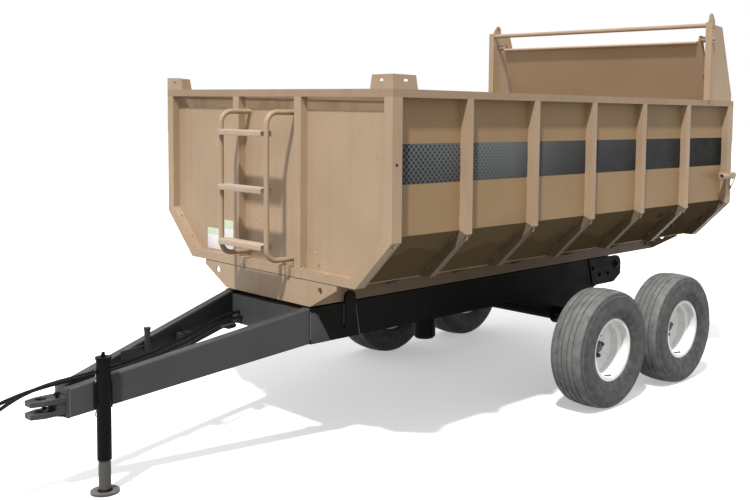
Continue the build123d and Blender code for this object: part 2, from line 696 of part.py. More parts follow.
# Parking jack on the outer face of the left arm
jack_along = JACK_Y / math.cos(arm_angle)
jack_out = JACK_GAP + JACK_OUTER / 2
jack_x = RAIL_OUTER + jack_along * arm_forward[0] - jack_out * arm_inward[0]
jack_y = jack_along * arm_forward[1] - jack_out * arm_inward[1]


def jack_plane(z):
    """Level plane on the jack's axis, with its first axis pointing away from the arm."""
    return Plane(origin=(jack_x, FRONT_Y + jack_y, z), x_dir=(-arm_inward[0], -arm_inward[1], 0),
                 z_dir=(0, 0, 1))


band_bottom, band_top = JACK_PLATE_BAND
with BuildPart() as jack_tube:
    with BuildSketch(jack_plane(JACK_BOTTOM)):
        Circle(JACK_OUTER / 2)
    extrude(amount=JACK_TOP - JACK_BOTTOM)
    with BuildSketch(jack_plane(band_bottom)):
        with Locations((-jack_out / 2, 0)):
            Rectangle(jack_out, 2 * JACK_PLATE_HALF)
    extrude(amount=band_top - band_bottom)
    with BuildSketch(jack_plane(JACK_TOP)):
        Circle(JACK_OUTER / 2 + 4)
    extrude(amount=10)
    with BuildSketch(jack_plane(JACK_TOP + 10)):
        with Locations((-5, 0)):
            Circle(13)
    extrude(amount=20, taper=18)
    with BuildSketch(jack_plane(JACK_BOTTOM)):
        Circle(JACK_BORE / 2)
    extrude(amount=JACK_LEG_TOP + 20 - JACK_BOTTOM, mode=Mode.SUBTRACT)
write_piece(jack_tube, "jack_tube")

with BuildPart() as jack_leg:
    with BuildSketch(jack_plane(0)):
        Circle(JACK_FOOT / 2)
    extrude(amount=JACK_FOOT_THICK)
    with BuildSketch(jack_plane(JACK_FOOT_THICK)):
        Circle(JACK_INNER / 2)
    extrude(amount=JACK_LEG_TOP - JACK_FOOT_THICK)
write_piece(jack_leg, "jack_leg")

# Far arm's fittings: a hose holder on a flat bracket, and a square socket
def far_arm_plane(along, inset, z):
    """Level plane on the right-hand arm: distance along it, distance inside its outer face."""
    x = -(RAIL_OUTER + along * arm_forward[0] + inset * arm_inward[0])
    y = FRONT_Y + along * arm_forward[1] + inset * arm_inward[1]
    return Plane(origin=(x, y, z), x_dir=(-arm_forward[0], arm_forward[1], 0), z_dir=(0, 0, 1))


with BuildPart() as drawbar_fittings:
    with BuildSketch(far_arm_plane(HOLDER_ALONG, ARM_WIDTH, HOLDER_Z - 15)):
        with Locations((60, HOLDER_PLATE / 2)):
            Rectangle(220, HOLDER_PLATE)
    extrude(amount=48)
    with BuildSketch(far_arm_plane(HOLDER_ALONG, ARM_WIDTH + HOLDER_PLATE + HOLDER_R - 2, HOLDER_Z)):
        Circle(HOLDER_R)
    extrude(amount=HOLDER_HEIGHT)
    with BuildSketch(far_arm_plane(HOLDER_ALONG, ARM_WIDTH + HOLDER_PLATE + HOLDER_R - 2,
                                   HOLDER_Z + HOLDER_HEIGHT)):
        Circle(HOLDER_R + 3)
    extrude(amount=14)
    with BuildSketch(far_arm_plane(SOCKET_ALONG, ARM_WIDTH + SOCKET_DEPTH / 2, SOCKET_Z)):
        Rectangle(SOCKET_LENGTH, SOCKET_DEPTH)
        Rectangle(SOCKET_LENGTH - 14, SOCKET_DEPTH - 12, mode=Mode.SUBTRACT)
    extrude(amount=SOCKET_HEIGHT)
write_piece(drawbar_fittings, "drawbar_fittings")

# Bogie: hangers under the rails carry a cross tube, and a walking beam on each end of it
bogie_y = (AXLE_FRONT_Y + AXLE_REAR_Y) / 2
axle_z = TYRE_OD / 2
with BuildPart() as bogie_hangers:
    with BuildSketch(side_view(RAIL_OUTER - RAIL_FLANGE + 10)):
        with BuildLine():
            Polyline((HANGER_REAR_Y, RAIL_BOTTOM), (HANGER_FRONT_Y, RAIL_BOTTOM),
                     (bogie_y - BOGIE_BOSS_R, BOGIE_Z + 20), (bogie_y - BOGIE_BOSS_R, BOGIE_Z))
            ThreePointArc((bogie_y - BOGIE_BOSS_R, BOGIE_Z), (bogie_y, BOGIE_Z - BOGIE_BOSS_R),
                          (bogie_y + BOGIE_BOSS_R, BOGIE_Z))
            Polyline((bogie_y + BOGIE_BOSS_R, BOGIE_Z), (bogie_y + BOGIE_BOSS_R, BOGIE_Z + 20),
                     (HANGER_REAR_Y, RAIL_BOTTOM))
        make_face()
        with Locations((bogie_y, BOGIE_Z)):
            Circle(BOGIE_TUBE_R, mode=Mode.SUBTRACT)
    extrude(amount=HANGER_THICK)
    mirror(about=Plane.YZ)
write_piece(bogie_hangers, "bogie_hangers")

with BuildPart() as bogie_tube:
    with BuildSketch(side_view(-BEAM_INNER_X)):
        with Locations((bogie_y, BOGIE_Z)):
            Circle(BOGIE_TUBE_R)
            Circle(BOGIE_TUBE_BORE_R, mode=Mode.SUBTRACT)
    extrude(amount=2 * BEAM_INNER_X)
write_piece(bogie_tube, "bogie_tube")

with BuildPart() as walking_beams:
    with BuildSketch(side_view(BEAM_INNER_X)):
        with Locations((bogie_y, BOGIE_Z)):
            Circle(BOGIE_BOSS_R)
        with Locations((AXLE_FRONT_Y, axle_z), (AXLE_REAR_Y, axle_z)):
            Circle(BEAM_END_R)
        make_hull()
    extrude(amount=BEAM_OUTER_X - BEAM_INNER_X)
    mirror(about=Plane.YZ)
write_piece(walking_beams, "walking_beams")

with BuildPart() as wheel_spindles:
    with BuildSketch(side_view(BEAM_OUTER_X)):
        with Locations((AXLE_FRONT_Y, axle_z), (AXLE_REAR_Y, axle_z)):
            Circle(SPINDLE_R)
    extrude(amount=SPINDLE_END_X - BEAM_OUTER_X)
    mirror(about=Plane.YZ)
write_piece(wheel_spindles, "wheel_spindles")

# Implement tyre, half section mirrored about the wheel's centre plane
tread_r = TYRE_OD / 2
crown_r = tread_r - CROWN_DROP
tyre_half = TYRE_WIDTH / 2
shoulder_r = tread_r - SHOULDER_DROP
bulge_r = (tread_r + RIM_EDGE_R) / 2 - 6
disc_x = WHEEL_X - DISC_OFFSET
disc_back = -DISC_OFFSET
disc_front = DISC_THICK - DISC_OFFSET
well_r = RIM_WELL_R - RIM_SHEET


def wheel_plane(side, y):
    """Plane through a wheel's axle, x along the axle and outwards, y up, at its centre plane."""
    return Plane(origin=(side * WHEEL_X, FRONT_Y + y, axle_z), x_dir=(side, 0, 0), z_dir=(0, -side, 0))


def rim_section():
    """Half section of the well rim: flange, bead seat and drop centre."""
    outline([(RIM_HALF, RIM_EDGE_R), (RIM_HALF, BEAD_R - RIM_SHEET), (46, BEAD_R - RIM_SHEET - 3),
             (32, RIM_WELL_R - RIM_SHEET), (0, RIM_WELL_R - RIM_SHEET), (0, RIM_WELL_R), (35, RIM_WELL_R),
             (50, BEAD_R), (RIM_HALF - RIM_SHEET, BEAD_R), (RIM_HALF - RIM_SHEET, RIM_EDGE_R)])


def make_wheel(side, y, name):
    """Write the tyre, the rim with its dish and the hub with its nuts, for one wheel."""
    axis = Axis(origin=(side * WHEEL_X, FRONT_Y + y, axle_z), direction=(1, 0, 0))
    plane = wheel_plane(side, y)
    with BuildPart() as tyre:
        with BuildSketch(plane):
            with BuildLine():
                ThreePointArc((0, tread_r), (TREAD_HALF / 2, tread_r - CROWN_DROP / 4), (TREAD_HALF, crown_r))
                Line((TREAD_HALF, crown_r), (tyre_half - SHOULDER_INSET, shoulder_r))
                ThreePointArc((tyre_half - SHOULDER_INSET, shoulder_r), (tyre_half, bulge_r),
                              (RIM_HALF + 6, RIM_EDGE_R))
                Polyline((RIM_HALF + 6, RIM_EDGE_R), (RIM_HALF - RIM_SHEET, RIM_EDGE_R),
                         (RIM_HALF - RIM_SHEET, BEAD_R), (0, BEAD_R), (0, tread_r))
            make_face()
            mirror(about=Plane.YZ)
        revolve(axis=axis)
    write_piece(tyre, f"tyre_{name}")
    with BuildPart() as rim:
        with BuildSketch(plane):
            rim_section()
            mirror(about=Plane.YZ)
            outline([(disc_back, DISC_HOLE_R), (disc_back, DISC_FLAT_R), (disc_back + DISC_RISE, well_r),
                     (disc_front + DISC_RISE, well_r), (disc_front, DISC_FLAT_R - 4),
                     (disc_front, DISC_HOLE_R)])
        revolve(axis=axis)
        with BuildSketch(Plane(origin=(side * (disc_x - DISC_THICK), FRONT_Y + y, axle_z), x_dir=(0, 1, 0),
                               z_dir=(side, 0, 0))):
            with PolarLocations(NUT_CIRCLE_R, NUT_COUNT):
                Circle(STUD_HOLE_R)
        extrude(amount=3 * DISC_THICK, mode=Mode.SUBTRACT)
    write_piece(rim, f"rim_{name}")
    hub_in = HUB_INNER_X - WHEEL_X
    hub_out = HUB_NOSE_X - WHEEL_X
    hub_bore_end = SPINDLE_END_X - WHEEL_X + 4
    flange = disc_back
    with BuildPart() as hub:
        with BuildSketch(plane):
            outline([(hub_in, SPINDLE_R + SPINDLE_FIT), (hub_in, HUB_BODY_R), (flange - 14, HUB_BODY_R),
                     (flange - 14, HUB_FLANGE_R), (flange, HUB_FLANGE_R), (flange, HUB_NOSE_R),
                     (hub_out - 10, HUB_NOSE_R), (hub_out, HUB_NOSE_R - 12), (hub_out, 0),
                     (hub_bore_end, 0), (hub_bore_end, SPINDLE_R + SPINDLE_FIT)])
        revolve(axis=axis)
        face = Plane(origin=(side * disc_x, FRONT_Y + y, axle_z), x_dir=(0, 1, 0), z_dir=(side, 0, 0))
        with BuildSketch(face):
            with PolarLocations(NUT_CIRCLE_R, NUT_COUNT):
                Circle(STUD_R)
        extrude(amount=DISC_THICK)
        with BuildSketch(face.offset(DISC_THICK)):
            with PolarLocations(NUT_CIRCLE_R, NUT_COUNT):
                RegularPolygon(NUT_AF / math.sqrt(3), 6)
        extrude(amount=NUT_HEIGHT)
    write_piece(hub, f"hub_{name}")


for side, side_name in ((1, "left"), (-1, "right")):
    for y, end_name in ((AXLE_FRONT_Y, "front"), (AXLE_REAR_Y, "rear")):
        make_wheel(side, y, f"{side_name}_{end_name}")

# Cradle: two plates between the middle crossbeams, bored for the ram's trunnions
with BuildPart() as ram_cradle:
    inner_gap = CRADLE_HALF_GAP - CROSSBEAM_DEPTH
    with BuildSketch(side_view(CRADLE_X)):
        with Locations((RAM_Y, RAM_PIVOT_Z)):
            Rectangle(2 * inner_gap, 90)
            Circle(TRUNNION_R + PIVOT_FIT, mode=Mode.SUBTRACT)
    extrude(amount=CRADLE_THICK)
    mirror(about=Plane.YZ)
write_piece(ram_cradle, "ram_cradle")


# Telescopic ram, standing in its cradle: nested tubes, each a running fit in the one outside it
def ram_plane():
    """Upright plane through the ram's axis."""
    return Plane(origin=(0, FRONT_Y + RAM_Y, 0), x_dir=(1, 0, 0), z_dir=(0, -1, 0))


ram_axis = Axis(origin=(0, FRONT_Y + RAM_Y, 0), direction=(0, 0, 1))
with BuildPart() as ram_barrel:
    collar_bottom = RAM_PIVOT_Z - RAM_COLLAR_HEIGHT / 2
    collar_top = RAM_PIVOT_Z + RAM_COLLAR_HEIGHT / 2
    bore = RAM_BARREL_R - RAM_STEP + RAM_FIT
    with BuildSketch(ram_plane()):
        outline([(0, RAM_BOTTOM), (RAM_BARREL_R - 15, RAM_BOTTOM), (RAM_BARREL_R, RAM_BOTTOM + 15),
                 (RAM_BARREL_R, collar_bottom), (RAM_COLLAR_R, collar_bottom), (RAM_COLLAR_R, collar_top),
                 (RAM_BARREL_R, collar_top), (RAM_BARREL_R, RAM_TOP - 30), (bore, RAM_TOP - 30),
                 (bore, RAM_BOTTOM + 15), (0, RAM_BOTTOM + 15)])
    revolve(axis=ram_axis)
    with BuildSketch(side_view(RAM_BARREL_R)):
        with Locations((RAM_Y, RAM_PIVOT_Z)):
            Circle(TRUNNION_R)
    extrude(amount=CRADLE_X + CRADLE_THICK - RAM_BARREL_R)
    with BuildSketch(side_view(-RAM_BARREL_R)):
        with Locations((RAM_Y, RAM_PIVOT_Z)):
            Circle(TRUNNION_R)
    extrude(amount=RAM_BARREL_R - CRADLE_X - CRADLE_THICK)
write_piece(ram_barrel, "ram_barrel")

for stage in range(1, RAM_STAGES + 1):
    radius = RAM_BARREL_R - RAM_STEP * stage
    bottom = RAM_BOTTOM + 20 + 5 * stage
    top = RAM_TOP - 30 + 10 * stage
    last = stage == RAM_STAGES
    bore = radius - RAM_STEP + RAM_FIT
    with BuildPart() as ram_stage:
        with BuildSketch(ram_plane()):
            if last:
                outline([(0, bottom), (radius, bottom), (radius, top), (0, top)])
            else:
                outline([(0, bottom), (radius, bottom), (radius, top), (bore, top), (bore, bottom + 5),
                         (0, bottom + 5)])
        revolve(axis=ram_axis)
        if last:
            with BuildSketch(side_view(-RAM_EYE_HALF)):
                with Locations((RAM_Y, RAM_EYE_Z)):
                    Circle(RAM_EYE_R)
                with Locations((RAM_Y, (RAM_EYE_Z + top) / 2)):
                    Rectangle(1.6 * RAM_EYE_R, RAM_EYE_Z - top)
            extrude(amount=2 * RAM_EYE_HALF)
    write_piece(ram_stage, f"ram_stage_{stage}")

# Ears between the front members, one each side of the ram's eye
ear_inner = RAM_EYE_HALF + RAM_EAR_GAP
ear_half = RAM_MEMBER_OFFSET - RAM_MEMBER_WIDTH / 2
with BuildPart() as ram_ears:
    with BuildSketch(side_view(ear_inner)):
        outline([(RAM_Y - ear_half, member_top), (RAM_Y + ear_half, member_top),
                 (RAM_Y + ear_half, member_mid), (RAM_Y + RAM_EAR_HALF, FLOOR_Z - RAM_EAR_DROP),
                 (RAM_Y - RAM_EAR_HALF, FLOOR_Z - RAM_EAR_DROP), (RAM_Y - ear_half, member_mid)])
    extrude(amount=RAM_EAR_THICK)
    mirror(about=Plane.YZ)
write_piece(ram_ears, "ram_ears")

# Tailgate posts: an angle on the rim at each side, with a lifting eye and the hinge bore
eye_behind, eye_up, eye_r, eye_bore = LUG_EYE
eye_y = POST_FRONT_Y + eye_behind
eye_z = POST_TOP + eye_up
shoulder_behind, shoulder_down = POST_SHOULDER
flange_in, flange_out = POST_FLANGE
with BuildPart() as tailgate_posts:
    with BuildSketch(side_view(POST_PLATE_X)):
        outline([(POST_FRONT_Y, RIM_TOP), (POST_FRONT_Y, POST_TOP),
                 (POST_FRONT_Y + shoulder_behind, POST_TOP - shoulder_down),
                 (TUB_LENGTH, RIM_TOP + POST_HEEL), (TUB_LENGTH, RIM_TOP)])
        with Locations((eye_y, eye_z)):
            Circle(eye_r)
        with Locations((eye_y, eye_z - eye_r)):
            Rectangle(2 * eye_r, 2 * eye_r)
        with Locations((eye_y, eye_z)):
            Circle(eye_bore, mode=Mode.SUBTRACT)
        with Locations((HINGE_Y, HINGE_Z)):
            Circle(HINGE_PIN_R + HINGE_FIT, mode=Mode.SUBTRACT)
    extrude(amount=POST_PLATE_THICK)
    with BuildSketch(cross_section(POST_FRONT_Y + POST_FLANGE_THICK)):
        with Locations(((flange_in + flange_out) / 2, (RIM_TOP + POST_TOP) / 2)):
            Rectangle(flange_out - flange_in, POST_TOP - RIM_TOP)
    extrude(amount=POST_FLANGE_THICK)
    mirror(about=Plane.YZ)
write_piece(tailgate_posts, "tailgate_posts")

with BuildPart() as tailgate_crosstube:
    with BuildSketch(side_view(-POST_PLATE_X)):
        with Locations((CROSSTUBE_Y, CROSSTUBE_Z)):
            Circle(CROSSTUBE_R)
    extrude(amount=2 * POST_PLATE_X)
write_piece(tailgate_crosstube, "tailgate_crosstube")

# Latches on the rear posts: a base plate with a short tube on it
tube_gap, tube_length = LATCH_TUBE
tube_x = TUB_HALF_WIDTH + LATCH_PLATE + LATCH_R
with BuildPart() as tailgate_latches:
    with BuildSketch(side_view(TUB_HALF_WIDTH)):
        with Locations((TUB_LENGTH - LATCH_FRONT / 2, LATCH_Z)):
            Rectangle(LATCH_FRONT - 2, 2 * LATCH_PLATE_HALF)
    extrude(amount=LATCH_PLATE)
    with BuildSketch(cross_section(TUB_LENGTH - LATCH_FRONT + tube_gap + tube_length)):
        with Locations((tube_x, LATCH_Z)):
            Circle(LATCH_R)
    extrude(amount=tube_length)
    with BuildSketch(side_view(TUB_HALF_WIDTH + LATCH_PLATE)):
        with Locations((TUB_LENGTH - LATCH_FRONT + tube_gap + tube_length / 2, LATCH_Z)):
            Rectangle(tube_length, LATCH_R)
    extrude(amount=LATCH_R)
    with BuildSketch(cross_section(TUB_LENGTH - LATCH_FRONT + tube_gap + tube_length)):
        with Locations((tube_x, LATCH_Z)):
            Circle(LATCH_BORE_R)
    extrude(amount=tube_length, mode=Mode.SUBTRACT)
    mirror(about=Plane.YZ)
write_piece(tailgate_latches, "tailgate_latches")

# Tailgate: a skin that leans forwards above the rim, in a frame of bars, with hinge arms
gate_bottom = floor_top + GATE_FLOOR_GAP
gate_depth_in = RIB_DEPTH + SHEET + GATE_SIDE_GAP


def gate_band(front, rear, bottom, top):
    """Side outline of the tailgate between two distances behind its skin's front face."""
    lean_top = (top - GATE_KINK_Z) * GATE_LEAN
    face = GATE_REAR_Y - GATE_DEPTH
    return [(face + front, bottom), (face + front, GATE_KINK_Z), (face + front - lean_top, top),
            (face + rear - lean_top, top), (face + rear, GATE_KINK_Z), (face + rear, bottom)]


def gate_front(border, bottom, top):
    """Face outline of the tailgate, inside its border."""
    full = TUB_HALF_WIDTH - gate_depth_in - border
    neck = GATE_TOP_HALF - border
    left = [(slope_x(gate_depth_in + border, bottom), bottom), kink(gate_depth_in + border),
            (full, RIM_BOTTOM - 50), (neck, RIM_TOP + 12), (neck, top)]
    return left + [(-x, z) for x, z in reversed(left)]


with BuildPart() as gate_pocket:
    with BuildSketch(side_view(-TUB_HALF_WIDTH)):
        outline(gate_band(GATE_SKIN, 2 * GATE_DEPTH, gate_bottom, GATE_TOP))
    extrude(amount=2 * TUB_HALF_WIDTH)
    with BuildSketch(cross_section(TUB_LENGTH + GATE_DEPTH)):
        outline(gate_front(GATE_BORDER, gate_bottom + GATE_BORDER, GATE_TOP - GATE_BORDER))
        column = 2 * GATE_TOP_HALF / GATE_COLUMNS
        for i in range(1, GATE_COLUMNS):
            with Locations((-GATE_TOP_HALF + i * column, (gate_bottom + GATE_TOP) / 2)):
                Rectangle(GATE_BAR, GATE_TOP - gate_bottom, mode=Mode.SUBTRACT)
        with Locations((0, GATE_KINK_Z)):
            Rectangle(2 * TUB_HALF_WIDTH, GATE_BAR, mode=Mode.SUBTRACT)
    extrude(amount=TUB_LENGTH - POST_FRONT_Y + 2 * GATE_DEPTH, mode=Mode.INTERSECT)

with BuildPart() as tailgate:
    with BuildSketch(side_view(-TUB_HALF_WIDTH)):
        outline(gate_band(0, GATE_DEPTH, gate_bottom, GATE_TOP))
    extrude(amount=2 * TUB_HALF_WIDTH)
    with BuildSketch(cross_section(TUB_LENGTH + GATE_DEPTH)):
        outline(gate_front(0, gate_bottom, GATE_TOP))
    extrude(amount=TUB_LENGTH - POST_FRONT_Y + 2 * GATE_DEPTH, mode=Mode.INTERSECT)
    add(gate_pocket.part, mode=Mode.SUBTRACT)
write_piece(tailgate, "tailgate_panel")

with BuildPart() as tailgate_arms:
    with BuildSketch(side_view(GATE_TOP_HALF)):
        outline([(GATE_TOP_Y - GATE_DEPTH, GATE_TOP), (GATE_TOP_Y, GATE_TOP),
                 (GATE_TOP_Y + GATE_ARM_DROP * GATE_LEAN, GATE_TOP - GATE_ARM_DROP),
                 (GATE_TOP_Y - GATE_DEPTH + GATE_ARM_DROP * GATE_LEAN, GATE_TOP - GATE_ARM_DROP)])
        with Locations((HINGE_Y, HINGE_Z)):
            Circle(30)
    extrude(amount=GATE_ARM_THICK)
    with BuildSketch(side_view(GATE_TOP_HALF + GATE_ARM_THICK)):
        with Locations((HINGE_Y, HINGE_Z)):
            Circle(22)
    extrude(amount=GATE_ARM_X + 20 - GATE_TOP_HALF)
    with BuildSketch(side_view(GATE_TOP_HALF + GATE_ARM_THICK)):
        with Locations((HINGE_Y, HINGE_Z)):
            Circle(HINGE_PIN_R)
    extrude(amount=HINGE_PIN_END - GATE_TOP_HALF - GATE_ARM_THICK)
    mirror(about=Plane.YZ)
write_piece(tailgate_arms, "tailgate_arms")

# Two hydraulic hoses along the inner side of the right-hand arm and over the clevis
hose_routes = {
    "upper": [(-270, 0, 700), (-270, -70, 700), (-250, -180, 676), (-204, -300, 655), (-148, -420, 638),
              (-113, -540, 621), (-86, -670, 598), (-62, -810, 583), (-38, -960, 573), (-12, -1110, 569),
              (-13, -1260, 560), (-15, -1395, 534), (-14, -1500, 488), (-12, -1565, 452)],
    "lower": [(-246, 0, 670), (-246, -72, 670), (-226, -182, 652), (-180, -302, 634), (-124, -424, 616),
              (-89, -542, 600), (-62, -672, 579), (-38, -812, 566), (-13, -962, 562), (13, -1112, 566),
              (12, -1262, 561), (14, -1397, 547), (13, -1500, 524), (15, -1568, 505)],
}


def hose_path(route):
    """Straight runs joined by arcs as large as the two runs beside each corner allow."""
    points = [Vector(x, FRONT_Y + y, z) for x, y, z in route]
    radii = []
    for before, corner, after in zip(points, points[1:], points[2:]):
        run_in, run_out = corner - before, after - corner
        turn = math.radians(run_in.get_angle(run_out))
        radii.append(0.45 * min(run_in.length, run_out.length) / math.tan(turn / 2))
    return points, radii


hose_ends = {}
for name, route in hose_routes.items():
    points, radii = hose_path(route)
    print("hose", name, "radii", [round(r) for r in radii])
    with BuildPart() as hose:
        with BuildLine() as hose_line:
            FilletPolyline(*points, radius=radii)
        run = hose_line.wire()
        with BuildSketch(Plane(origin=run @ 0, z_dir=run % 0)):
            Circle(HOSE_R)
        sweep(path=run)
    length = run.length
    print("hose", name, "length", round(length), "volume ratio",
          round(hose.part.volume / (math.pi * HOSE_R**2 * length), 4))
    hose_ends[name] = Plane(origin=run @ 1, z_dir=run % 1)
    write_piece(hose, f"hose_{name}")

with BuildPart() as hose_couplers:
    for end in hose_ends.values():
        with BuildSketch(end):
            Circle(COUPLER_R)
        extrude(amount=COUPLER_LENGTH)
write_piece(hose_couplers, "hose_couplers")
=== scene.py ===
"""Looks of a tandem-axle tipping trailer: its finishes, small fittings, hoses, light and camera."""

import logging
import math
from dataclasses import dataclass
from enum import Enum

import bmesh
import bpy
from mathutils import Matrix, Vector


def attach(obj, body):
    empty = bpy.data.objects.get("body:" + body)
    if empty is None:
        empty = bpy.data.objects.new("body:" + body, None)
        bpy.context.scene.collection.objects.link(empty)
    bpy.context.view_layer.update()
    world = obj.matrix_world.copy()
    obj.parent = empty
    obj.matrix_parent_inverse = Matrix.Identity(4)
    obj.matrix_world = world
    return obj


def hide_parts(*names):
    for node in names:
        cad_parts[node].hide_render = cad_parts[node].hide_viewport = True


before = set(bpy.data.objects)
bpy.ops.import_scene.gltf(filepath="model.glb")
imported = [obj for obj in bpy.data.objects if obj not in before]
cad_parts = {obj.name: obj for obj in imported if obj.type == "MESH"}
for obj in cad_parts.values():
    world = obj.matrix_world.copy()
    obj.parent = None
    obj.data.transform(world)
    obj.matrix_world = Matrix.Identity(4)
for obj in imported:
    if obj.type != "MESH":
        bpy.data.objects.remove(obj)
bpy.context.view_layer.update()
LOG = logging.getLogger("trailer")

Colour = tuple[float, float, float]
Point = tuple[float, float, float]
Socket = bpy.types.NodeSocket

UP, FORWARD, REARWARD = Vector((0.0, 0.0, 1.0)), Vector((0.0, -1.0, 0.0)), Vector((0.0, 1.0, 0.0))
EVEN = (1.0, 1.0, 1.0)
SIDES = {"left": 1, "right": -1}
FRONT_Y = -1.0935
# Millimetres, as at() takes them: wheels, the body's sheets and posts, the drawbar's rails, the bays' edges.
WHEEL_Y = {"front": 1891.0, "rear": 2768.0}
WHEEL_X, AXLE_Z = 1054.9, 390.0
SHEET_X, POST_X, RAIL_X = 1027.0, 1076.5, 418.0
RIB_FIRST, RIB_PITCH, RIB_HALF, RIB_COUNT = 579.0, 583.0, 25.0, 5
RIB_EDGES = [RIB_FIRST + rib * RIB_PITCH + half for rib in range(RIB_COUNT) for half in (-RIB_HALF, RIB_HALF)]
BAY_EDGES = [68.0, *RIB_EDGES, 3499.0]


class Body(Enum):
    """Moving bodies that fittings ride on."""

    CHASSIS = "chassis"
    TUB = "tub"
    TAILGATE = "tailgate"


class Slot(Enum):
    """Material slots of the record that the pieces use."""

    TAN = "tan_paint"
    DARK = "dark_paint"
    BLACK = "black_paint"
    WHITE = "white_paint"
    ZINC = "zinc_steel"
    TYRE = "tyre_rubber"
    HOSE = "hose_rubber"


def at(x: float, y: float, z: float) -> Vector:
    """Point in the row frame from millimetres, y counted from the front wall."""
    return Vector((x / 1000, FRONT_Y + y / 1000, z / 1000))


def beside(sign: int, out: float, y: float, z: float) -> Vector:
    """Point on one side of the body, its first measure counted outwards from the posts' outer faces."""
    return at(sign * (POST_X + out), y, z)


def outward(sign: int, length: float = 1.0) -> Vector:
    """Vector away from the trailer's middle plane on one side."""
    return Vector((sign * length, 0.0, 0.0))


def aim(direction: Vector) -> Matrix:
    """Rotation that turns +Z to a direction."""
    return direction.to_track_quat("Z", "Y").to_matrix().to_4x4()


def dim(colour: Colour, share: float) -> Colour:
    """Darker tone of a colour."""
    return tuple(channel * share for channel in colour)


def put(name: str, data: bpy.types.ID) -> bpy.types.Object:
    """New object in the scene for a mesh, a curve, a lamp or a camera."""
    thing = bpy.data.objects.new(name, data)
    bpy.context.scene.collection.objects.link(thing)
    return thing


def rod(name: str, points: list[Vector], radius: float, fineness: int, steps: int, smooth: bool = True,
        closed: bool = False) -> bpy.types.Object:
    """Bent round rod as a curve object.

    Args:
        name: Name of the object.
        points: Points that it is bent along.
        radius: Its radius.
        fineness: How many faces its section has.
        steps: Steps between two points.
        smooth: Whether it bends smoothly, and not in straight runs.
        closed: Whether its ends meet.

    Returns:
        The object.
    """
    curve = bpy.data.curves.new(name, "CURVE")
    curve.dimensions = "3D"
    curve.bevel_depth = radius
    curve.bevel_resolution = fineness
    curve.use_fill_caps = True
    spline = curve.splines.new("NURBS" if smooth else "POLY")
    spline.points.add(len(points) - 1)
    for control, point in zip(spline.points, points):
        control.co = (*point, 1.0)
    if smooth:
        spline.order_u = 3
        spline.use_endpoint_u = not closed
    spline.use_cyclic_u = closed
    spline.resolution_u = steps
    return put(name, curve)


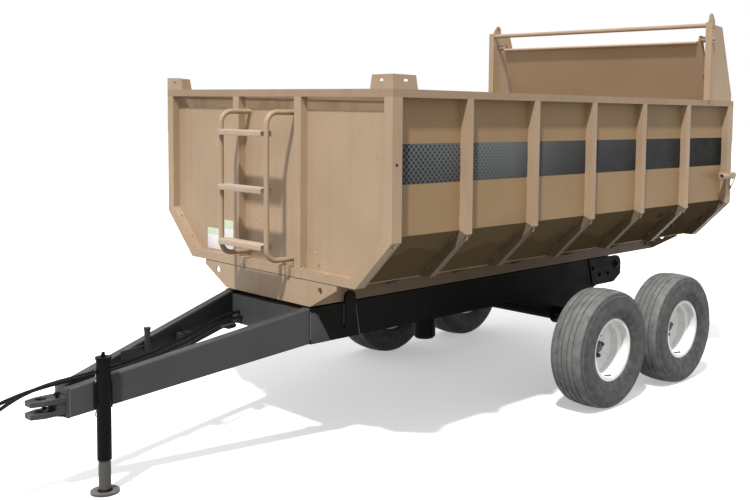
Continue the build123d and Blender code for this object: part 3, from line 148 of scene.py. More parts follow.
class Recipe:
    """Node tree of one material, with short calls for the nodes that the finishes share."""

    def __init__(self, name: str) -> None:
        """Start an empty material.

        Args:
            name: Name of the material.
        """
        self.material = bpy.data.materials.new(name)
        self.material.use_nodes = True
        self.nodes = self.material.node_tree.nodes
        self.links = self.material.node_tree.links
        self.nodes.clear()
        coords = self.nodes.new("ShaderNodeTexCoord")
        self.place = coords.outputs["Object"]
        self.facing = coords.outputs["Normal"]

    def feed(self, socket: Socket, value: "Socket | float | Colour") -> None:
        """Link an output to a socket, or set the socket's own value.

        Args:
            socket: Input to fill.
            value: Another node's output, a number or a colour.
        """
        if isinstance(value, bpy.types.NodeSocket):
            self.links.new(value, socket)
        elif isinstance(value, tuple) and len(socket.default_value) == 4:
            socket.default_value = (*value, 1.0)
        else:
            socket.default_value = value

    def texture(self, kind: str, scale: float, stretch: Point = EVEN) -> bpy.types.Node:
        """Pattern on the object's own coordinates.

        Args:
            kind: Type of its node.
            scale: Cells per metre.
            stretch: How much denser the pattern is along each axis.

        Returns:
            The pattern's node.
        """
        mapping = self.nodes.new("ShaderNodeMapping")
        mapping.inputs["Scale"].default_value = stretch
        self.links.new(self.place, mapping.inputs["Vector"])
        texture = self.nodes.new(kind)
        self.links.new(mapping.outputs["Vector"], texture.inputs["Vector"])
        texture.inputs["Scale"].default_value = scale
        return texture

    def noise(self, scale: float, detail: float, stretch: Point = EVEN) -> Socket:
        """Cloudy pattern, from 0 to 1, with its cells per metre, its octaves and its stretch."""
        texture = self.texture("ShaderNodeTexNoise", scale, stretch)
        texture.inputs["Detail"].default_value = detail
        return texture.outputs[0]

    def cloud(self, scale: float, detail: float, low: float, high: float, stretch: Point = EVEN) -> Socket:
        """Cloudy pattern cut to the part between two heights.

        Args:
            scale: Cells per metre.
            detail: Octaves.
            low: Height that becomes 0.
            high: Height that becomes 1.
            stretch: How much denser the pattern is along each axis.

        Returns:
            The pattern, from 0 to 1.
        """
        return self.span(self.noise(scale, detail, stretch), low, high)

    def mottle(self, scale: float, detail: float, start: float, end: float) -> Socket:
        """Number that wanders between a start and an end with a cloudy pattern."""
        return self.span(self.noise(scale, detail), 0.3, 0.7, start, end)

    def dots(self, scale: float) -> Socket:
        """Distance, in cells, to the nearest point of a staggered grid on the trailer's side.

        Args:
            scale: Points per metre.

        Returns:
            The distance.
        """
        _, along, up = self.split(self.place)
        flat = self.nodes.new("ShaderNodeCombineXYZ")
        self.links.new(self.calc("ADD", along, up), flat.inputs[0])
        self.links.new(self.calc("SUBTRACT", up, along), flat.inputs[1])
        texture = self.nodes.new("ShaderNodeTexVoronoi")
        texture.voronoi_dimensions = "2D"
        self.links.new(flat.outputs[0], texture.inputs["Vector"])
        texture.inputs["Scale"].default_value = scale
        texture.inputs["Randomness"].default_value = 0.0
        return texture.outputs["Distance"]

    def calc(self, operation: str, first: "Socket | float", second: "Socket | float" = 0.0) -> Socket:
        """One arithmetic step.

        Args:
            operation: Name of the Math node's operation.
            first: First number.
            second: Second number.

        Returns:
            The result.
        """
        node = self.nodes.new("ShaderNodeMath")
        node.operation = operation
        self.feed(node.inputs[0], first)
        self.feed(node.inputs[1], second)
        return node.outputs[0]

    def times(self, first: Socket, second: "Socket | float") -> Socket:
        """Product of two numbers."""
        return self.calc("MULTIPLY", first, second)

    def span(self, value: Socket, low: float, high: float, start: float = 0.0, end: float = 1.0) -> Socket:
        """Stretch a part of a value's range, clamped at both ends.

        Args:
            value: Number to stretch.
            low: Value that becomes the start.
            high: Value that becomes the end.
            start: Result at low.
            end: Result at high.

        Returns:
            The stretched number.
        """
        node = self.nodes.new("ShaderNodeMapRange")
        self.links.new(value, node.inputs["Value"])
        for name, number in (("From Min", low), ("From Max", high), ("To Min", start), ("To Max", end)):
            node.inputs[name].default_value = number
        return node.outputs["Result"]

    def split(self, vector: Socket) -> tuple[Socket, Socket, Socket]:
        """The three coordinates of a vector."""
        node = self.nodes.new("ShaderNodeSeparateXYZ")
        self.links.new(vector, node.inputs[0])
        return node.outputs[0], node.outputs[1], node.outputs[2]

    def mix(self, factor: Socket, first: "Socket | Colour", second: "Socket | Colour") -> Socket:
        """Blend two colours.

        Args:
            factor: 0 for the first colour, 1 for the second.
            first: First colour.
            second: Second colour.

        Returns:
            The blended colour.
        """
        node = self.nodes.new("ShaderNodeMix")
        node.data_type = "RGBA"
        self.feed(node.inputs[0], factor)
        self.feed(node.inputs[6], first)
        self.feed(node.inputs[7], second)
        return node.outputs[2]

    def tint(self, under: "Socket | Colour", cover: Socket, share: float, over: Colour) -> Socket:
        """Lay a colour over another where a pattern says.

        Args:
            under: Colour that is covered.
            cover: Pattern from 0 to 1.
            share: How much of the pattern counts.
            over: Colour that covers.

        Returns:
            The colour of both.
        """
        return self.mix(self.times(cover, share), under, over)

    def bump(self, height: Socket, depth: float, below: "Socket | None" = None) -> Socket:
        """Relief from a height.

        Args:
            height: Pattern from 0 to 1.
            depth: Real depth of the pattern, in metres.
            below: Relief that this one lies on.

        Returns:
            The changed normal.
        """
        node = self.nodes.new("ShaderNodeBump")
        node.inputs["Distance"].default_value = depth
        self.links.new(height, node.inputs["Height"])
        if below is not None:
            self.links.new(below, node.inputs["Normal"])
        return node.outputs["Normal"]

    def finish(self, colour: Socket, rough: Socket, normal: Socket, metal: float = 0.0,
               gloss: float = 0.5) -> bpy.types.Material:
        """Close the recipe with its surface shader.

        Args:
            colour: Base colour.
            rough: Roughness.
            normal: Relief.
            metal: Metallic share.
            gloss: Specular level.

        Returns:
            The finished material.
        """
        shader = self.nodes.new("ShaderNodeBsdfPrincipled")
        for name, value in (("Base Color", colour), ("Roughness", rough), ("Normal", normal),
                            ("Metallic", metal), ("Specular IOR Level", gloss)):
            self.feed(shader.inputs[name], value)
        output = self.nodes.new("ShaderNodeOutputMaterial")
        self.links.new(shader.outputs[0], output.inputs["Surface"])
        return self.material


@dataclass(frozen=True)
class Paint:
    """Sprayed paint on steel plate, with clouding, run-off streaks, dust on ledges and small chips, plus painted
    shade: a dust colour darker than the paint darkens the tops, and optional painted shade darkens inward faces and
    the underside towards the rear.
    """

    name: str
    colour: Colour
    shade: Colour
    dust: Colour = (0.42, 0.36, 0.29)
    dust_share: float = 0.35
    streaks: float = 0.25
    chips: float = 0.5
    bare: Colour = (0.12, 0.09, 0.07)
    rough: tuple[float, float] = (0.34, 0.52)
    wave: float = 0.004
    gloss: float = 0.25
    inner_shade: float = 0.0
    under_shade: float = 0.0

    def make(self) -> bpy.types.Material:
        """Build the material."""
        recipe = Recipe(self.name)
        colour = recipe.mix(recipe.cloud(1.9, 5.0, 0.38, 0.72), self.colour, self.shade)
        runs = recipe.cloud(2.6, 4.0, 0.5, 0.78, (6.0, 6.0, 0.3))
        colour = recipe.tint(colour, runs, self.streaks, dim(self.shade, 0.62))
        # Dust on up-facing faces; where the dust colour is darker than the paint, as on the tan, it is also painted
        # shade on the tops.
        ledge = recipe.span(recipe.split(recipe.facing)[2], 0.35, 0.95)
        dust_and_top_shade = recipe.times(ledge, recipe.cloud(11.0, 5.0, 0.3, 0.7))
        colour = recipe.tint(colour, dust_and_top_shade, self.dust_share, self.dust)
        colour = recipe.tint(colour, recipe.cloud(70.0, 2.0, 0.725, 0.745), self.chips, self.bare)
        # Painted shade: faces turned towards the trailer's middle go near black.
        if self.inner_shade:
            turned_in = recipe.times(recipe.split(recipe.facing)[0], recipe.split(recipe.place)[0])
            inner = recipe.span(turned_in, -0.01, -0.04, 0.0, self.inner_shade)
            colour = recipe.mix(inner, colour, (0.006, 0.006, 0.006))
        # Painted shade: parts behind the first rib, under the body, turn darker.
        if self.under_shade:
            behind = recipe.span(recipe.split(recipe.place)[1], -0.95, -0.75, 0.0, self.under_shade)
            colour = recipe.mix(behind, colour, (0.040, 0.028, 0.014))
        rough = recipe.mottle(7.0, 4.0, *self.rough)
        normal = recipe.bump(recipe.noise(1.4, 2.0), self.wave)
        normal = recipe.bump(recipe.noise(520.0, 1.0), 0.00012, normal)
        return recipe.finish(colour, rough, normal, gloss=self.gloss)


@dataclass(frozen=True)
class SheetPaint:
    """Paint of the body's thin sheets: clean and reflecting outside, scoured by loads inside; a darker jagged band
    at the bottom outside is a painted reflection of dark ground, and rear_shade is painted shade towards the rear.
    """

    name: str
    outside: Colour
    inside: Colour
    scoured: Colour
    foot: Colour
    reflection_top: float
    across: bool = True
    gloss: float = 0.2
    rear_shade: float = 0.0
    rough: tuple[float, float] = (0.36, 0.54)
    edge: float = 0.16

    def make(self) -> bpy.types.Material:
        """Build the material."""
        recipe = Recipe(self.name)
        side = recipe.split(recipe.place)
        facing = recipe.split(recipe.facing)
        outward_x = recipe.times(side[0], facing[0])
        outer = recipe.span(outward_x, -0.02, 0.02) if self.across else recipe.span(facing[1], -0.02, -0.3)
        skin = recipe.tint(self.outside, recipe.cloud(1.5, 4.0, 0.35, 0.75), 0.6, dim(self.outside, 0.8))
        # Darker band at the bottom of the outside, with a jagged top edge: a painted reflection of dark ground.
        low = recipe.calc("ADD", side[2], recipe.mottle(3.4, 5.0, -0.09, 0.09))
        skin = recipe.tint(skin, recipe.span(low, self.reflection_top, self.reflection_top - self.edge), 0.75, self.foot)
        runs = recipe.cloud(2.2, 5.0, 0.46, 0.74, (5.0, 5.0, 0.35))
        scratch = recipe.cloud(30.0, 3.0, 0.6, 0.7, (0.25, 0.25, 4.0))
        lining = recipe.tint(self.inside, runs, 0.7, self.scoured)
        lining = recipe.tint(lining, scratch, 0.4, (0.55, 0.47, 0.37))
        colour = recipe.mix(outer, lining, skin)
        colour = recipe.tint(colour, recipe.cloud(64.0, 2.0, 0.73, 0.75), 0.5, (0.13, 0.09, 0.06))
        # Painted shade: darker towards the rear.
        if self.rear_shade:
            colour = recipe.mix(recipe.span(side[1], -0.3, 2.3, 0.0, self.rear_shade), colour, (0.03, 0.021, 0.010))
        rough = recipe.mottle(5.0, 4.0, *self.rough)
        normal = recipe.bump(recipe.noise(1.7, 2.0), 0.007)
        normal = recipe.bump(recipe.noise(480.0, 1.0), 0.00012, normal)
        return recipe.finish(colour, rough, normal, gloss=self.gloss)


@dataclass(frozen=True)
class Rubber:
    """Worn tyre rubber: pale dusty tread with painted shade in its grooves, darker flank with moulded rings and a
    painted sheen band.
    """

    axle: Point
    tread: Colour = (0.120, 0.120, 0.119)
    flank: Colour = (0.046, 0.046, 0.046)
    dust: Colour = (0.205, 0.204, 0.200)
    sheen: Colour = (0.105, 0.104, 0.102)
    groove: Colour = (0.02, 0.02, 0.02)

    def make(self, name: str) -> bpy.types.Material:
        """Build the material of one wheel's tyre.

        Args:
            name: Name of the material.

        Returns:
            The material.
        """
        recipe = Recipe(name)
        x, y, z = recipe.split(recipe.place)
        rise = recipe.calc("SUBTRACT", z, self.axle[2])
        reach = recipe.calc("SUBTRACT", y, self.axle[1])
        radius = recipe.calc("SQRT", recipe.calc("ADD", recipe.times(rise, rise), recipe.times(reach, reach)))
        offset = recipe.calc("ABSOLUTE", recipe.calc("SUBTRACT", recipe.calc("ABSOLUTE", x), self.axle[0]))
        crown = recipe.times(recipe.span(radius, 0.366, 0.379), recipe.span(offset, 0.124, 0.112))
        tread = recipe.mix(recipe.cloud(16.0, 6.0, 0.3, 0.72), self.tread, self.dust)
        # Painted shade: the bottoms of the grooves go near black.
        groove_shade = recipe.times(recipe.span(radius, 0.3765, 0.3735), recipe.span(offset, 0.085, 0.075))
        tread = recipe.mix(groove_shade, tread, self.groove)
        flank = recipe.tint(self.flank, recipe.cloud(22.0, 6.0, 0.4, 0.8), 0.35, self.dust)
        # Painted sheen: a lighter band across the middle of the flank.
        belly = recipe.times(recipe.span(radius, 0.262, 0.300), recipe.span(radius, 0.345, 0.315))
        flank = recipe.tint(flank, belly, 0.4, self.sheen)
        # A lighter ring on the flank near the shoulder, 352 to 358 mm from the axle.
        lighter_ring = recipe.times(recipe.span(radius, 0.352, 0.354), recipe.span(radius, 0.358, 0.356))
        flank = recipe.tint(flank, lighter_ring, 0.5, self.dust)
        colour = recipe.mix(crown, flank, tread)
        rings = recipe.calc("SINE", recipe.times(radius, 1500.0))
        band = recipe.times(recipe.span(radius, 0.300, 0.305), recipe.span(radius, 0.348, 0.343))
        normal = recipe.bump(recipe.times(rings, band), 0.0006)
        normal = recipe.bump(recipe.noise(300.0, 4.0), 0.0004, normal)
        return recipe.finish(colour, recipe.mottle(24.0, 3.0, 0.62, 0.85), normal, gloss=0.35)


@dataclass(frozen=True)
class Enamel:
    """Glossy white enamel of the rims, greyed by brake dust and mud splashes."""

    name: str
    colour: Colour = (0.90, 0.90, 0.89)
    grime: Colour = (0.42, 0.39, 0.34)

    def make(self) -> bpy.types.Material:
        """Build the material."""
        recipe = Recipe(self.name)
        colour = recipe.tint(self.colour, recipe.cloud(14.0, 5.0, 0.45, 0.8), 0.22, self.grime)
        colour = recipe.tint(colour, recipe.cloud(120.0, 3.0, 0.67, 0.7), 0.4, self.grime)
        rough = recipe.mottle(30.0, 3.0, 0.2, 0.42)
        return recipe.finish(colour, rough, recipe.bump(recipe.noise(420.0, 1.0), 0.0001))


@dataclass(frozen=True)
class Steel:
    """Bare or plated steel with cloudy plating and fine handling marks."""

    name: str
    colour: Colour
    tarnish: Colour
    rough: tuple[float, float] = (0.3, 0.55)
    grain: float = 0.0002

    def make(self) -> bpy.types.Material:
        """Build the material."""
        recipe = Recipe(self.name)
        spangle = recipe.span(recipe.texture("ShaderNodeTexVoronoi", 90.0).outputs["Distance"], 0.1, 0.7)
        colour = recipe.tint(self.colour, spangle, 0.3, self.tarnish)
        colour = recipe.mix(recipe.cloud(26.0, 5.0, 0.45, 0.75), colour, self.tarnish)
        rough = recipe.mottle(40.0, 3.0, *self.rough)
        return recipe.finish(colour, rough, recipe.bump(recipe.noise(700.0, 2.0), self.grain), metal=0.85)


@dataclass(frozen=True)
class Grease:
    """Dark greasy hub with dust stuck to it."""

    name: str
    colour: Colour = (0.035, 0.033, 0.031)
    dust: Colour = (0.17, 0.15, 0.12)

    def make(self) -> bpy.types.Material:
        """Build the material."""
        recipe = Recipe(self.name)
        colour = recipe.tint(self.colour, recipe.cloud(45.0, 5.0, 0.48, 0.66), 0.7, self.dust)
        rough = recipe.span(recipe.noise(38.0, 3.0), 0.35, 0.65, 0.22, 0.75)
        return recipe.finish(colour, rough, recipe.bump(recipe.noise(160.0, 4.0), 0.0012))


@dataclass(frozen=True)
class HoseCover:
    """Black hose cover with a wrapped weave and rubbed dust."""

    name: str
    colour: Colour = (0.006, 0.006, 0.006)
    dust: Colour = (0.018, 0.017, 0.016)

    def make(self) -> bpy.types.Material:
        """Build the material."""
        recipe = Recipe(self.name)
        colour = recipe.tint(self.colour, recipe.cloud(60.0, 4.0, 0.45, 0.75), 0.5, self.dust)
        normal = recipe.bump(recipe.noise(900.0, 2.0, (1.0, 0.35, 1.0)), 0.0006)
        return recipe.finish(colour, recipe.mottle(50.0, 3.0, 0.4, 0.62), normal, gloss=0.12)


@dataclass(frozen=True)
class BandPrint:
    """Side stripe film: grey with dark halftone dots at the front, near black at the rear."""

    name: str
    grey: Colour = (0.125, 0.130, 0.132)
    dot: Colour = (0.022, 0.026, 0.030)
    middle: Colour = (0.058, 0.060, 0.061)
    black: Colour = (0.006, 0.006, 0.006)
    dots_start: float = -1.03
    dots_end: float = 0.05
    dot_sizes: tuple[float, float] = (0.43, 0.05)

    def make(self) -> bpy.types.Material:
        """Build the material."""
        recipe = Recipe(self.name)
        y = recipe.split(recipe.place)[1]
        base = recipe.mix(recipe.span(y, -0.1, 0.4), self.grey, self.middle)
        base = recipe.mix(recipe.span(y, 0.4, 2.3), base, self.black)
        size = recipe.span(y, self.dots_start, self.dots_end, *self.dot_sizes)
        printed = recipe.span(recipe.calc("SUBTRACT", size, recipe.dots(29.0)), -0.05, 0.05)
        colour = recipe.mix(recipe.times(printed, recipe.span(y, 0.1, 0.0)), base, self.dot)
        colour = recipe.tint(colour, recipe.cloud(6.0, 4.0, 0.4, 0.75), 0.05, (0.16, 0.14, 0.11))
        rough = recipe.mottle(9.0, 3.0, 0.55, 0.7)
        return recipe.finish(colour, rough, recipe.bump(recipe.noise(2.0, 2.0), 0.003), gloss=0.10)


@dataclass(frozen=True)
class LabelPrint:
    """Blank white film label with a pale green head."""

    name: str
    head: float
    paper: Colour = (0.80, 0.80, 0.80)
    green: Colour = (0.56, 0.66, 0.47)
    dirt: Colour = (0.40, 0.36, 0.30)

    def make(self) -> bpy.types.Material:
        """Build the material."""
        recipe = Recipe(self.name)
        z = recipe.split(recipe.place)[2]
        colour = recipe.mix(recipe.span(z, self.head - 0.001, self.head + 0.001), self.paper, self.green)
        colour = recipe.tint(colour, recipe.cloud(40.0, 4.0, 0.45, 0.75), 0.25, self.dirt)
        rough = recipe.mottle(25.0, 3.0, 0.3, 0.45)
        return recipe.finish(colour, rough, recipe.bump(recipe.noise(60.0, 2.0), 0.0002))


class Palette:
    """Every finish of the trailer, made once."""

    def __init__(self) -> None:
        """Make the materials."""
        # The tan's dust colour is darker than the tan, so its dust on up-facing faces is also painted shade on the
        # tops.
        tan, tan_shade, tan_dust_and_top_shade = (0.440, 0.317, 0.209), (0.385, 0.273, 0.176), (0.25, 0.20, 0.155)
        self.tan = Paint("tan_paint", tan, tan_shade, dust=tan_dust_and_top_shade, dust_share=0.9).make()
        # tan_under: painted shade darkens the slope ribs, beams and gussets behind the first rib.
        self.under = Paint("tan_under", tan, tan_shade, dust=tan_dust_and_top_shade, dust_share=0.5, gloss=0.12,
                           under_shade=0.62).make()
        self.tan_bright = Paint("tan_rung", (0.50, 0.385, 0.285), (0.44, 0.33, 0.24), dust=(0.60, 0.52, 0.42),
                                dust_share=0.5, chips=1.0, bare=(0.66, 0.62, 0.56), rough=(0.3, 0.45)).make()
        # Darker copy of the tan for the rim rail: painted shade that keeps its sunlit tops from looking brighter
        # than the rest.
        self.rim = Paint("tan_rim", (0.362, 0.258, 0.168), (0.31, 0.218, 0.14), dust=(0.22, 0.175, 0.135),
                         dust_share=0.9).make()
        # Side sheets: the darker band at their foot is a painted reflection of dark ground.
        self.sides = SheetPaint("tan_side_sheet", (0.352, 0.232, 0.124), (0.385, 0.280, 0.182),
                                (0.27, 0.185, 0.112), (0.22, 0.15, 0.085), 1.30, gloss=0.15).make()
        # Slope sheets: the dark outside colour is painted shade on the downward faces, the band at the foot a
        # painted reflection of dark ground, and rear_shade painted shade towards the rear.
        self.slopes = SheetPaint("tan_slope_sheet", (0.232, 0.165, 0.088), (0.34, 0.25, 0.165),
                                 (0.27, 0.19, 0.115), (0.165, 0.112, 0.058), 1.15, gloss=0.0, rear_shade=0.3,
                                 rough=(0.8, 0.95), edge=0.02).make()
        self.lining = SheetPaint("tan_gate", (0.40, 0.28, 0.18), (0.46, 0.335, 0.225), (0.33, 0.235, 0.15),
                                 (0.26, 0.185, 0.115), 1.3, False).make()
        # inner_shade: painted shade turns the drawbar's faces towards the middle near black.
        self.drawbar = Paint("drawbar_paint", (0.060, 0.061, 0.062), (0.047, 0.048, 0.049),
                             dust=(0.12, 0.115, 0.11), dust_share=0.3, chips=0.25, bare=(0.03, 0.025, 0.02),
                             rough=(0.45, 0.62), wave=0.001, gloss=0.18, inner_shade=0.85).make()
        self.leg = Paint("jack_leg_paint", (0.080, 0.079, 0.076), (0.060, 0.058, 0.055), dust_share=0.3, chips=0.4,
                         bare=(0.16, 0.15, 0.14), rough=(0.4, 0.58), wave=0.001, gloss=0.3).make()
        self.fittings = Paint("fittings_paint", (0.030, 0.030, 0.030), (0.022, 0.022, 0.022), dust_share=0.2,
                              chips=0.3, bare=(0.10, 0.09, 0.08), rough=(0.42, 0.58), wave=0.001).make()
        self.black = Paint("chassis_paint", (0.006, 0.006, 0.0055), (0.004, 0.004, 0.004),
                           dust=(0.03, 0.027, 0.024), dust_share=0.15, chips=0.2, bare=(0.04, 0.03, 0.025),
                           rough=(0.42, 0.58), wave=0.001, gloss=0.05).make()
        self.bead = Paint("bead_paint", (0.11, 0.11, 0.11), (0.085, 0.085, 0.085), dust_share=0.2, chips=0.2,
                          rough=(0.4, 0.6), wave=0.0, gloss=0.3).make()
        self.weld = Paint("weld_paint", (0.42, 0.30, 0.20), (0.33, 0.235, 0.155), chips=0.8, wave=0.0).make()
        self.white = Enamel("rim_enamel").make()
        self.zinc = Steel("zinc_plate", (0.62, 0.60, 0.55), (0.42, 0.39, 0.33)).make()
        self.shaft = Steel("turned_steel", (0.42, 0.41, 0.40), (0.22, 0.20, 0.18)).make()
        self.chrome = Steel("chrome_plate", (0.72, 0.72, 0.74), (0.58, 0.58, 0.60), (0.08, 0.18), 0.00003).make()
        self.grease = Grease("hub_grease").make()
        self.hose = HoseCover("hose_cover").make()
        self.band = BandPrint("stripe_film").make()


class Form:
    """A piece in the making: shapes from bmesh operators, joined into one mesh."""

    def __init__(self, name: str) -> None:
        """Start an empty piece.

        Args:
            name: Name of the piece.
        """
        self.name = name
        self.mesh = bmesh.new()

    def take(self, shape: bmesh.types.BMesh, bevel: float = 0.0, turn: float = 30.0) -> None:
        """Round a shape's sharp edges and join it to the piece.

        Args:
            shape: Shape to take, which is used up.
            bevel: Radius of its edges, in metres.
            turn: Least angle of an edge that is rounded, in degrees.
        """
        bmesh.ops.recalc_face_normals(shape, faces=shape.faces)
        if bevel:
            sharp = [edge for edge in shape.edges
                     if len(edge.link_faces) == 2 and edge.calc_face_angle(0.0) > math.radians(turn)]
            bmesh.ops.bevel(shape, geom=sharp, offset=bevel, offset_type="OFFSET", segments=2, profile=0.5,
                            affect="EDGES", material=-1, clamp_overlap=True)
        mesh = bpy.data.meshes.new("shape")
        shape.to_mesh(mesh)
        shape.free()
        self.mesh.from_mesh(mesh)
        bpy.data.meshes.remove(mesh)

    def block(self, corner: Vector, opposite: Vector, bevel: float = 0.0) -> None:
        """Add a box between two opposite corners."""
        shape = bmesh.new()
        size = [abs(length) for length in opposite - corner]
        matrix = Matrix.Translation((corner + opposite) / 2) @ Matrix.Diagonal((*size, 1.0))
        bmesh.ops.create_cube(shape, size=1.0, matrix=matrix)
        self.take(shape, bevel)

    def bar(self, start: Vector, end: Vector, radius: float, tip: "float | None" = None, sides: int = 24,
            bevel: float = 0.0) -> None:
        """Add a round or many-sided bar.

        Args:
            start: Centre of its first end.
            end: Centre of its other end.
            radius: Radius of the first end.
            tip: Radius of the other end, if it isn't the same.
            sides: Number of sides.
            bevel: Radius of its edges.
        """
        shape = bmesh.new()
        run = end - start
        bmesh.ops.create_cone(shape, cap_ends=True, segments=sides, radius1=radius,
                              radius2=radius if tip is None else tip, depth=run.length,
                              matrix=Matrix.Translation((start + end) / 2) @ aim(run))
        self.take(shape, bevel, turn=50.0 if sides > 8 else 30.0)

    def plate(self, points: list[Vector], depth: Vector, bevel: float = 0.0) -> None:
        """Add a flat plate.

        Args:
            points: Its outline.
            depth: Its thickness, as a vector.
            bevel: Radius of its edges.
        """
        shape = bmesh.new()
        face = shape.faces.new([shape.verts.new(point) for point in points])
        grown = bmesh.ops.extrude_face_region(shape, geom=[face])
        bmesh.ops.translate(shape, verts=self.points_of(grown), vec=depth)
        self.take(shape, bevel)

    def turned(self, profile: list[tuple[float, float]], centre: Vector, axis: Vector, steps: int) -> None:
        """Add a turned shape.

        Args:
            profile: Closed outline, as (distance along the axis, radius).
            centre: Point on the axis from which distances are counted.
            axis: Direction of the axis.
            steps: Steps of the full turn.
        """
        shape = bmesh.new()
        across = axis.orthogonal().normalized()
        verts = [shape.verts.new(centre + axis * along + across * radius) for along, radius in profile]
        edges = [shape.edges.new((verts[i], verts[(i + 1) % len(verts)])) for i in range(len(verts))]
        bmesh.ops.spin(shape, geom=verts + edges, cent=centre, axis=axis, angle=math.tau, steps=steps,
                       use_merge=True)
        bmesh.ops.remove_doubles(shape, verts=shape.verts, dist=0.00002)
        self.take(shape)

    def dome(self, centre: Vector, out: Vector, radius: float, height: float, rings: int = 8) -> None:
        """Add a low round dome that stands on a surface."""
        shape = bmesh.new()
        matrix = Matrix.Translation(centre) @ aim(out) @ Matrix.Diagonal((1.0, 1.0, height / radius, 1.0))
        bmesh.ops.create_uvsphere(shape, u_segments=rings, v_segments=max(4, rings // 2), radius=radius,
                                  matrix=matrix)
        self.take(shape)

    def bolt(self, centre: Vector, out: Vector, across: float, height: float) -> None:
        """Add a hexagon head on a washer.

        Args:
            centre: Point on the surface under the washer.
            out: Direction away from the surface.
            across: Size across the flats.
            height: Height of the head.
        """
        washer = across * 0.08
        self.bar(centre - out * 0.001, centre + out * washer, across * 0.86, sides=20, bevel=across * 0.03)
        self.bar(centre + out * washer, centre + out * (washer + height), across / math.sqrt(3), sides=6,
                 bevel=across * 0.05)

    def wire(self, points: list[Vector], radius: float, closed: bool = False, smooth: bool = True,
             fineness: int = 3) -> None:
        """Add a bent rod.

        Args:
            points: Points that it is bent along.
            radius: Its radius.
            closed: Whether its ends meet.
            smooth: Whether it bends smoothly, and not in straight runs.
            fineness: How many faces its section has.
        """
        bent = rod("rod", points, radius, fineness, 6, smooth, closed)
        curve = bent.data
        mesh = bpy.data.meshes.new_from_object(bent.evaluated_get(bpy.context.evaluated_depsgraph_get()))
        self.mesh.from_mesh(mesh)
        bpy.data.objects.remove(bent)
        bpy.data.curves.remove(curve)
        bpy.data.meshes.remove(mesh)

    def bead(self, start: Vector, end: Vector, radius: float, swell: float = 1.45) -> None:
        """Add a weld bead with its ripples.

        Args:
            start: Where it starts.
            end: Where it ends.
            radius: Its mean radius.
            swell: How much thicker a ripple is than the waist beside it.
        """
        run = end - start
        steps = 2 * max(3, int(run.length / (radius * 1.7)))
        shape = bmesh.new()
        circle = bmesh.ops.create_circle(shape, cap_ends=True, segments=6, radius=radius * 0.6,
                                         matrix=Matrix.Translation(start) @ aim(run))
        last = list(circle["verts"])
        for step in range(1, steps + 1):
            last = self.points_of(bmesh.ops.extrude_edge_only(shape, edges=self.rim_of(last)))
            bmesh.ops.translate(shape, verts=last, vec=run / steps)
            size = swell if step % 2 else 1 / swell
            middle = start + run * (step / steps)
            if step < steps:
                bmesh.ops.scale(shape, verts=last, vec=(size, size, size), space=Matrix.Translation(-middle))
        bmesh.ops.contextual_create(shape, geom=last)
        self.take(shape)

    @staticmethod
    def points_of(grown: dict[str, list]) -> list[bmesh.types.BMVert]:
        """Points among what an operator made."""
        return [item for item in grown["geom"] if isinstance(item, bmesh.types.BMVert)]

    @staticmethod
    def rim_of(ring: list[bmesh.types.BMVert]) -> list[bmesh.types.BMEdge]:
        """Edges that join the points of a ring."""
        members = set(ring)
        edges = {edge for point in ring for edge in point.link_edges if edge.other_vert(point) in members}
        return list(edges)

    def finish(self, body: "Body | str", material: bpy.types.Material, slot: Slot,
               replaces: tuple[str, ...] = (), crease: float = 35.0) -> bpy.types.Object:
        """Turn the shapes into one object of the trailer.

        Args:
            body: Body that it rides on.
            material: Its finish.
            slot: Material slot that the finish belongs to; not used.
            replaces: CAD nodes that it stands for.
            crease: Angle from which an edge looks sharp, in degrees.

        Returns:
            The object.
        """
        mesh = bpy.data.meshes.new(self.name)
        for face in self.mesh.faces:
            face.smooth = True
        self.mesh.to_mesh(mesh)
        self.mesh.free()
        mesh.set_sharp_from_angle(angle=math.radians(crease))
        mesh.materials.append(material)
        piece = put(self.name, mesh)
        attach(piece, body.value if isinstance(body, Body) else body)
        if replaces:
            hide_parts(*replaces)
        LOG.info("%s: %d faces", self.name, len(mesh.polygons))
        return piece


@dataclass
class Hose:
    """One hydraulic hose on the drawbar with its coupler."""

    name: str
    route: tuple[Point, ...]
    length: float
    diameter: float = 0.019

    def build(self, palette: Palette) -> bpy.types.Object:
        """Lay the hose and screw on its coupler.

        Args:
            palette: Finishes.

        Returns:
            The hose.
        """
        hose = rod(f"hose_{self.name}_line", [at(*point) for point in self.route], self.diameter / 2, 5, 10)
        hose.data.materials.append(palette.hose)
        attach(hose, Body.CHASSIS.value)
        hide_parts(f"hose_{self.name}")
        coupler = self.coupler(palette)
        LOG.info("hose_%s: %d points", self.name, len(self.route))
        return hose

    def coupler(self, palette: Palette) -> bpy.types.Object:
        """Quick coupler with a ferrule, a hexagon, a knurled sleeve and a rounded nose."""
        end = at(*self.route[-1])
        along = (end - at(*self.route[-2])).normalized()
        form = Form(f"coupler_{self.name}")
        form.bar(end - along * 0.034, end + along * 0.004, 0.0128, sides=20, bevel=0.0015)
        form.bar(end + along * 0.002, end + along * 0.016, 0.0146, sides=6, bevel=0.0012)
        form.turned([(0.016, 0.0), (0.016, 0.0120), (0.020, 0.0148), (0.025, 0.0148), (0.027, 0.0132),
                     (0.030, 0.0148), (0.042, 0.0148), (0.044, 0.0125), (0.058, 0.0118), (0.0615, 0.0085),
                     (0.0618, 0.0)], end, along, 32)
        return form.finish(Body.CHASSIS, palette.zinc, Slot.ZINC, ("hose_couplers",))


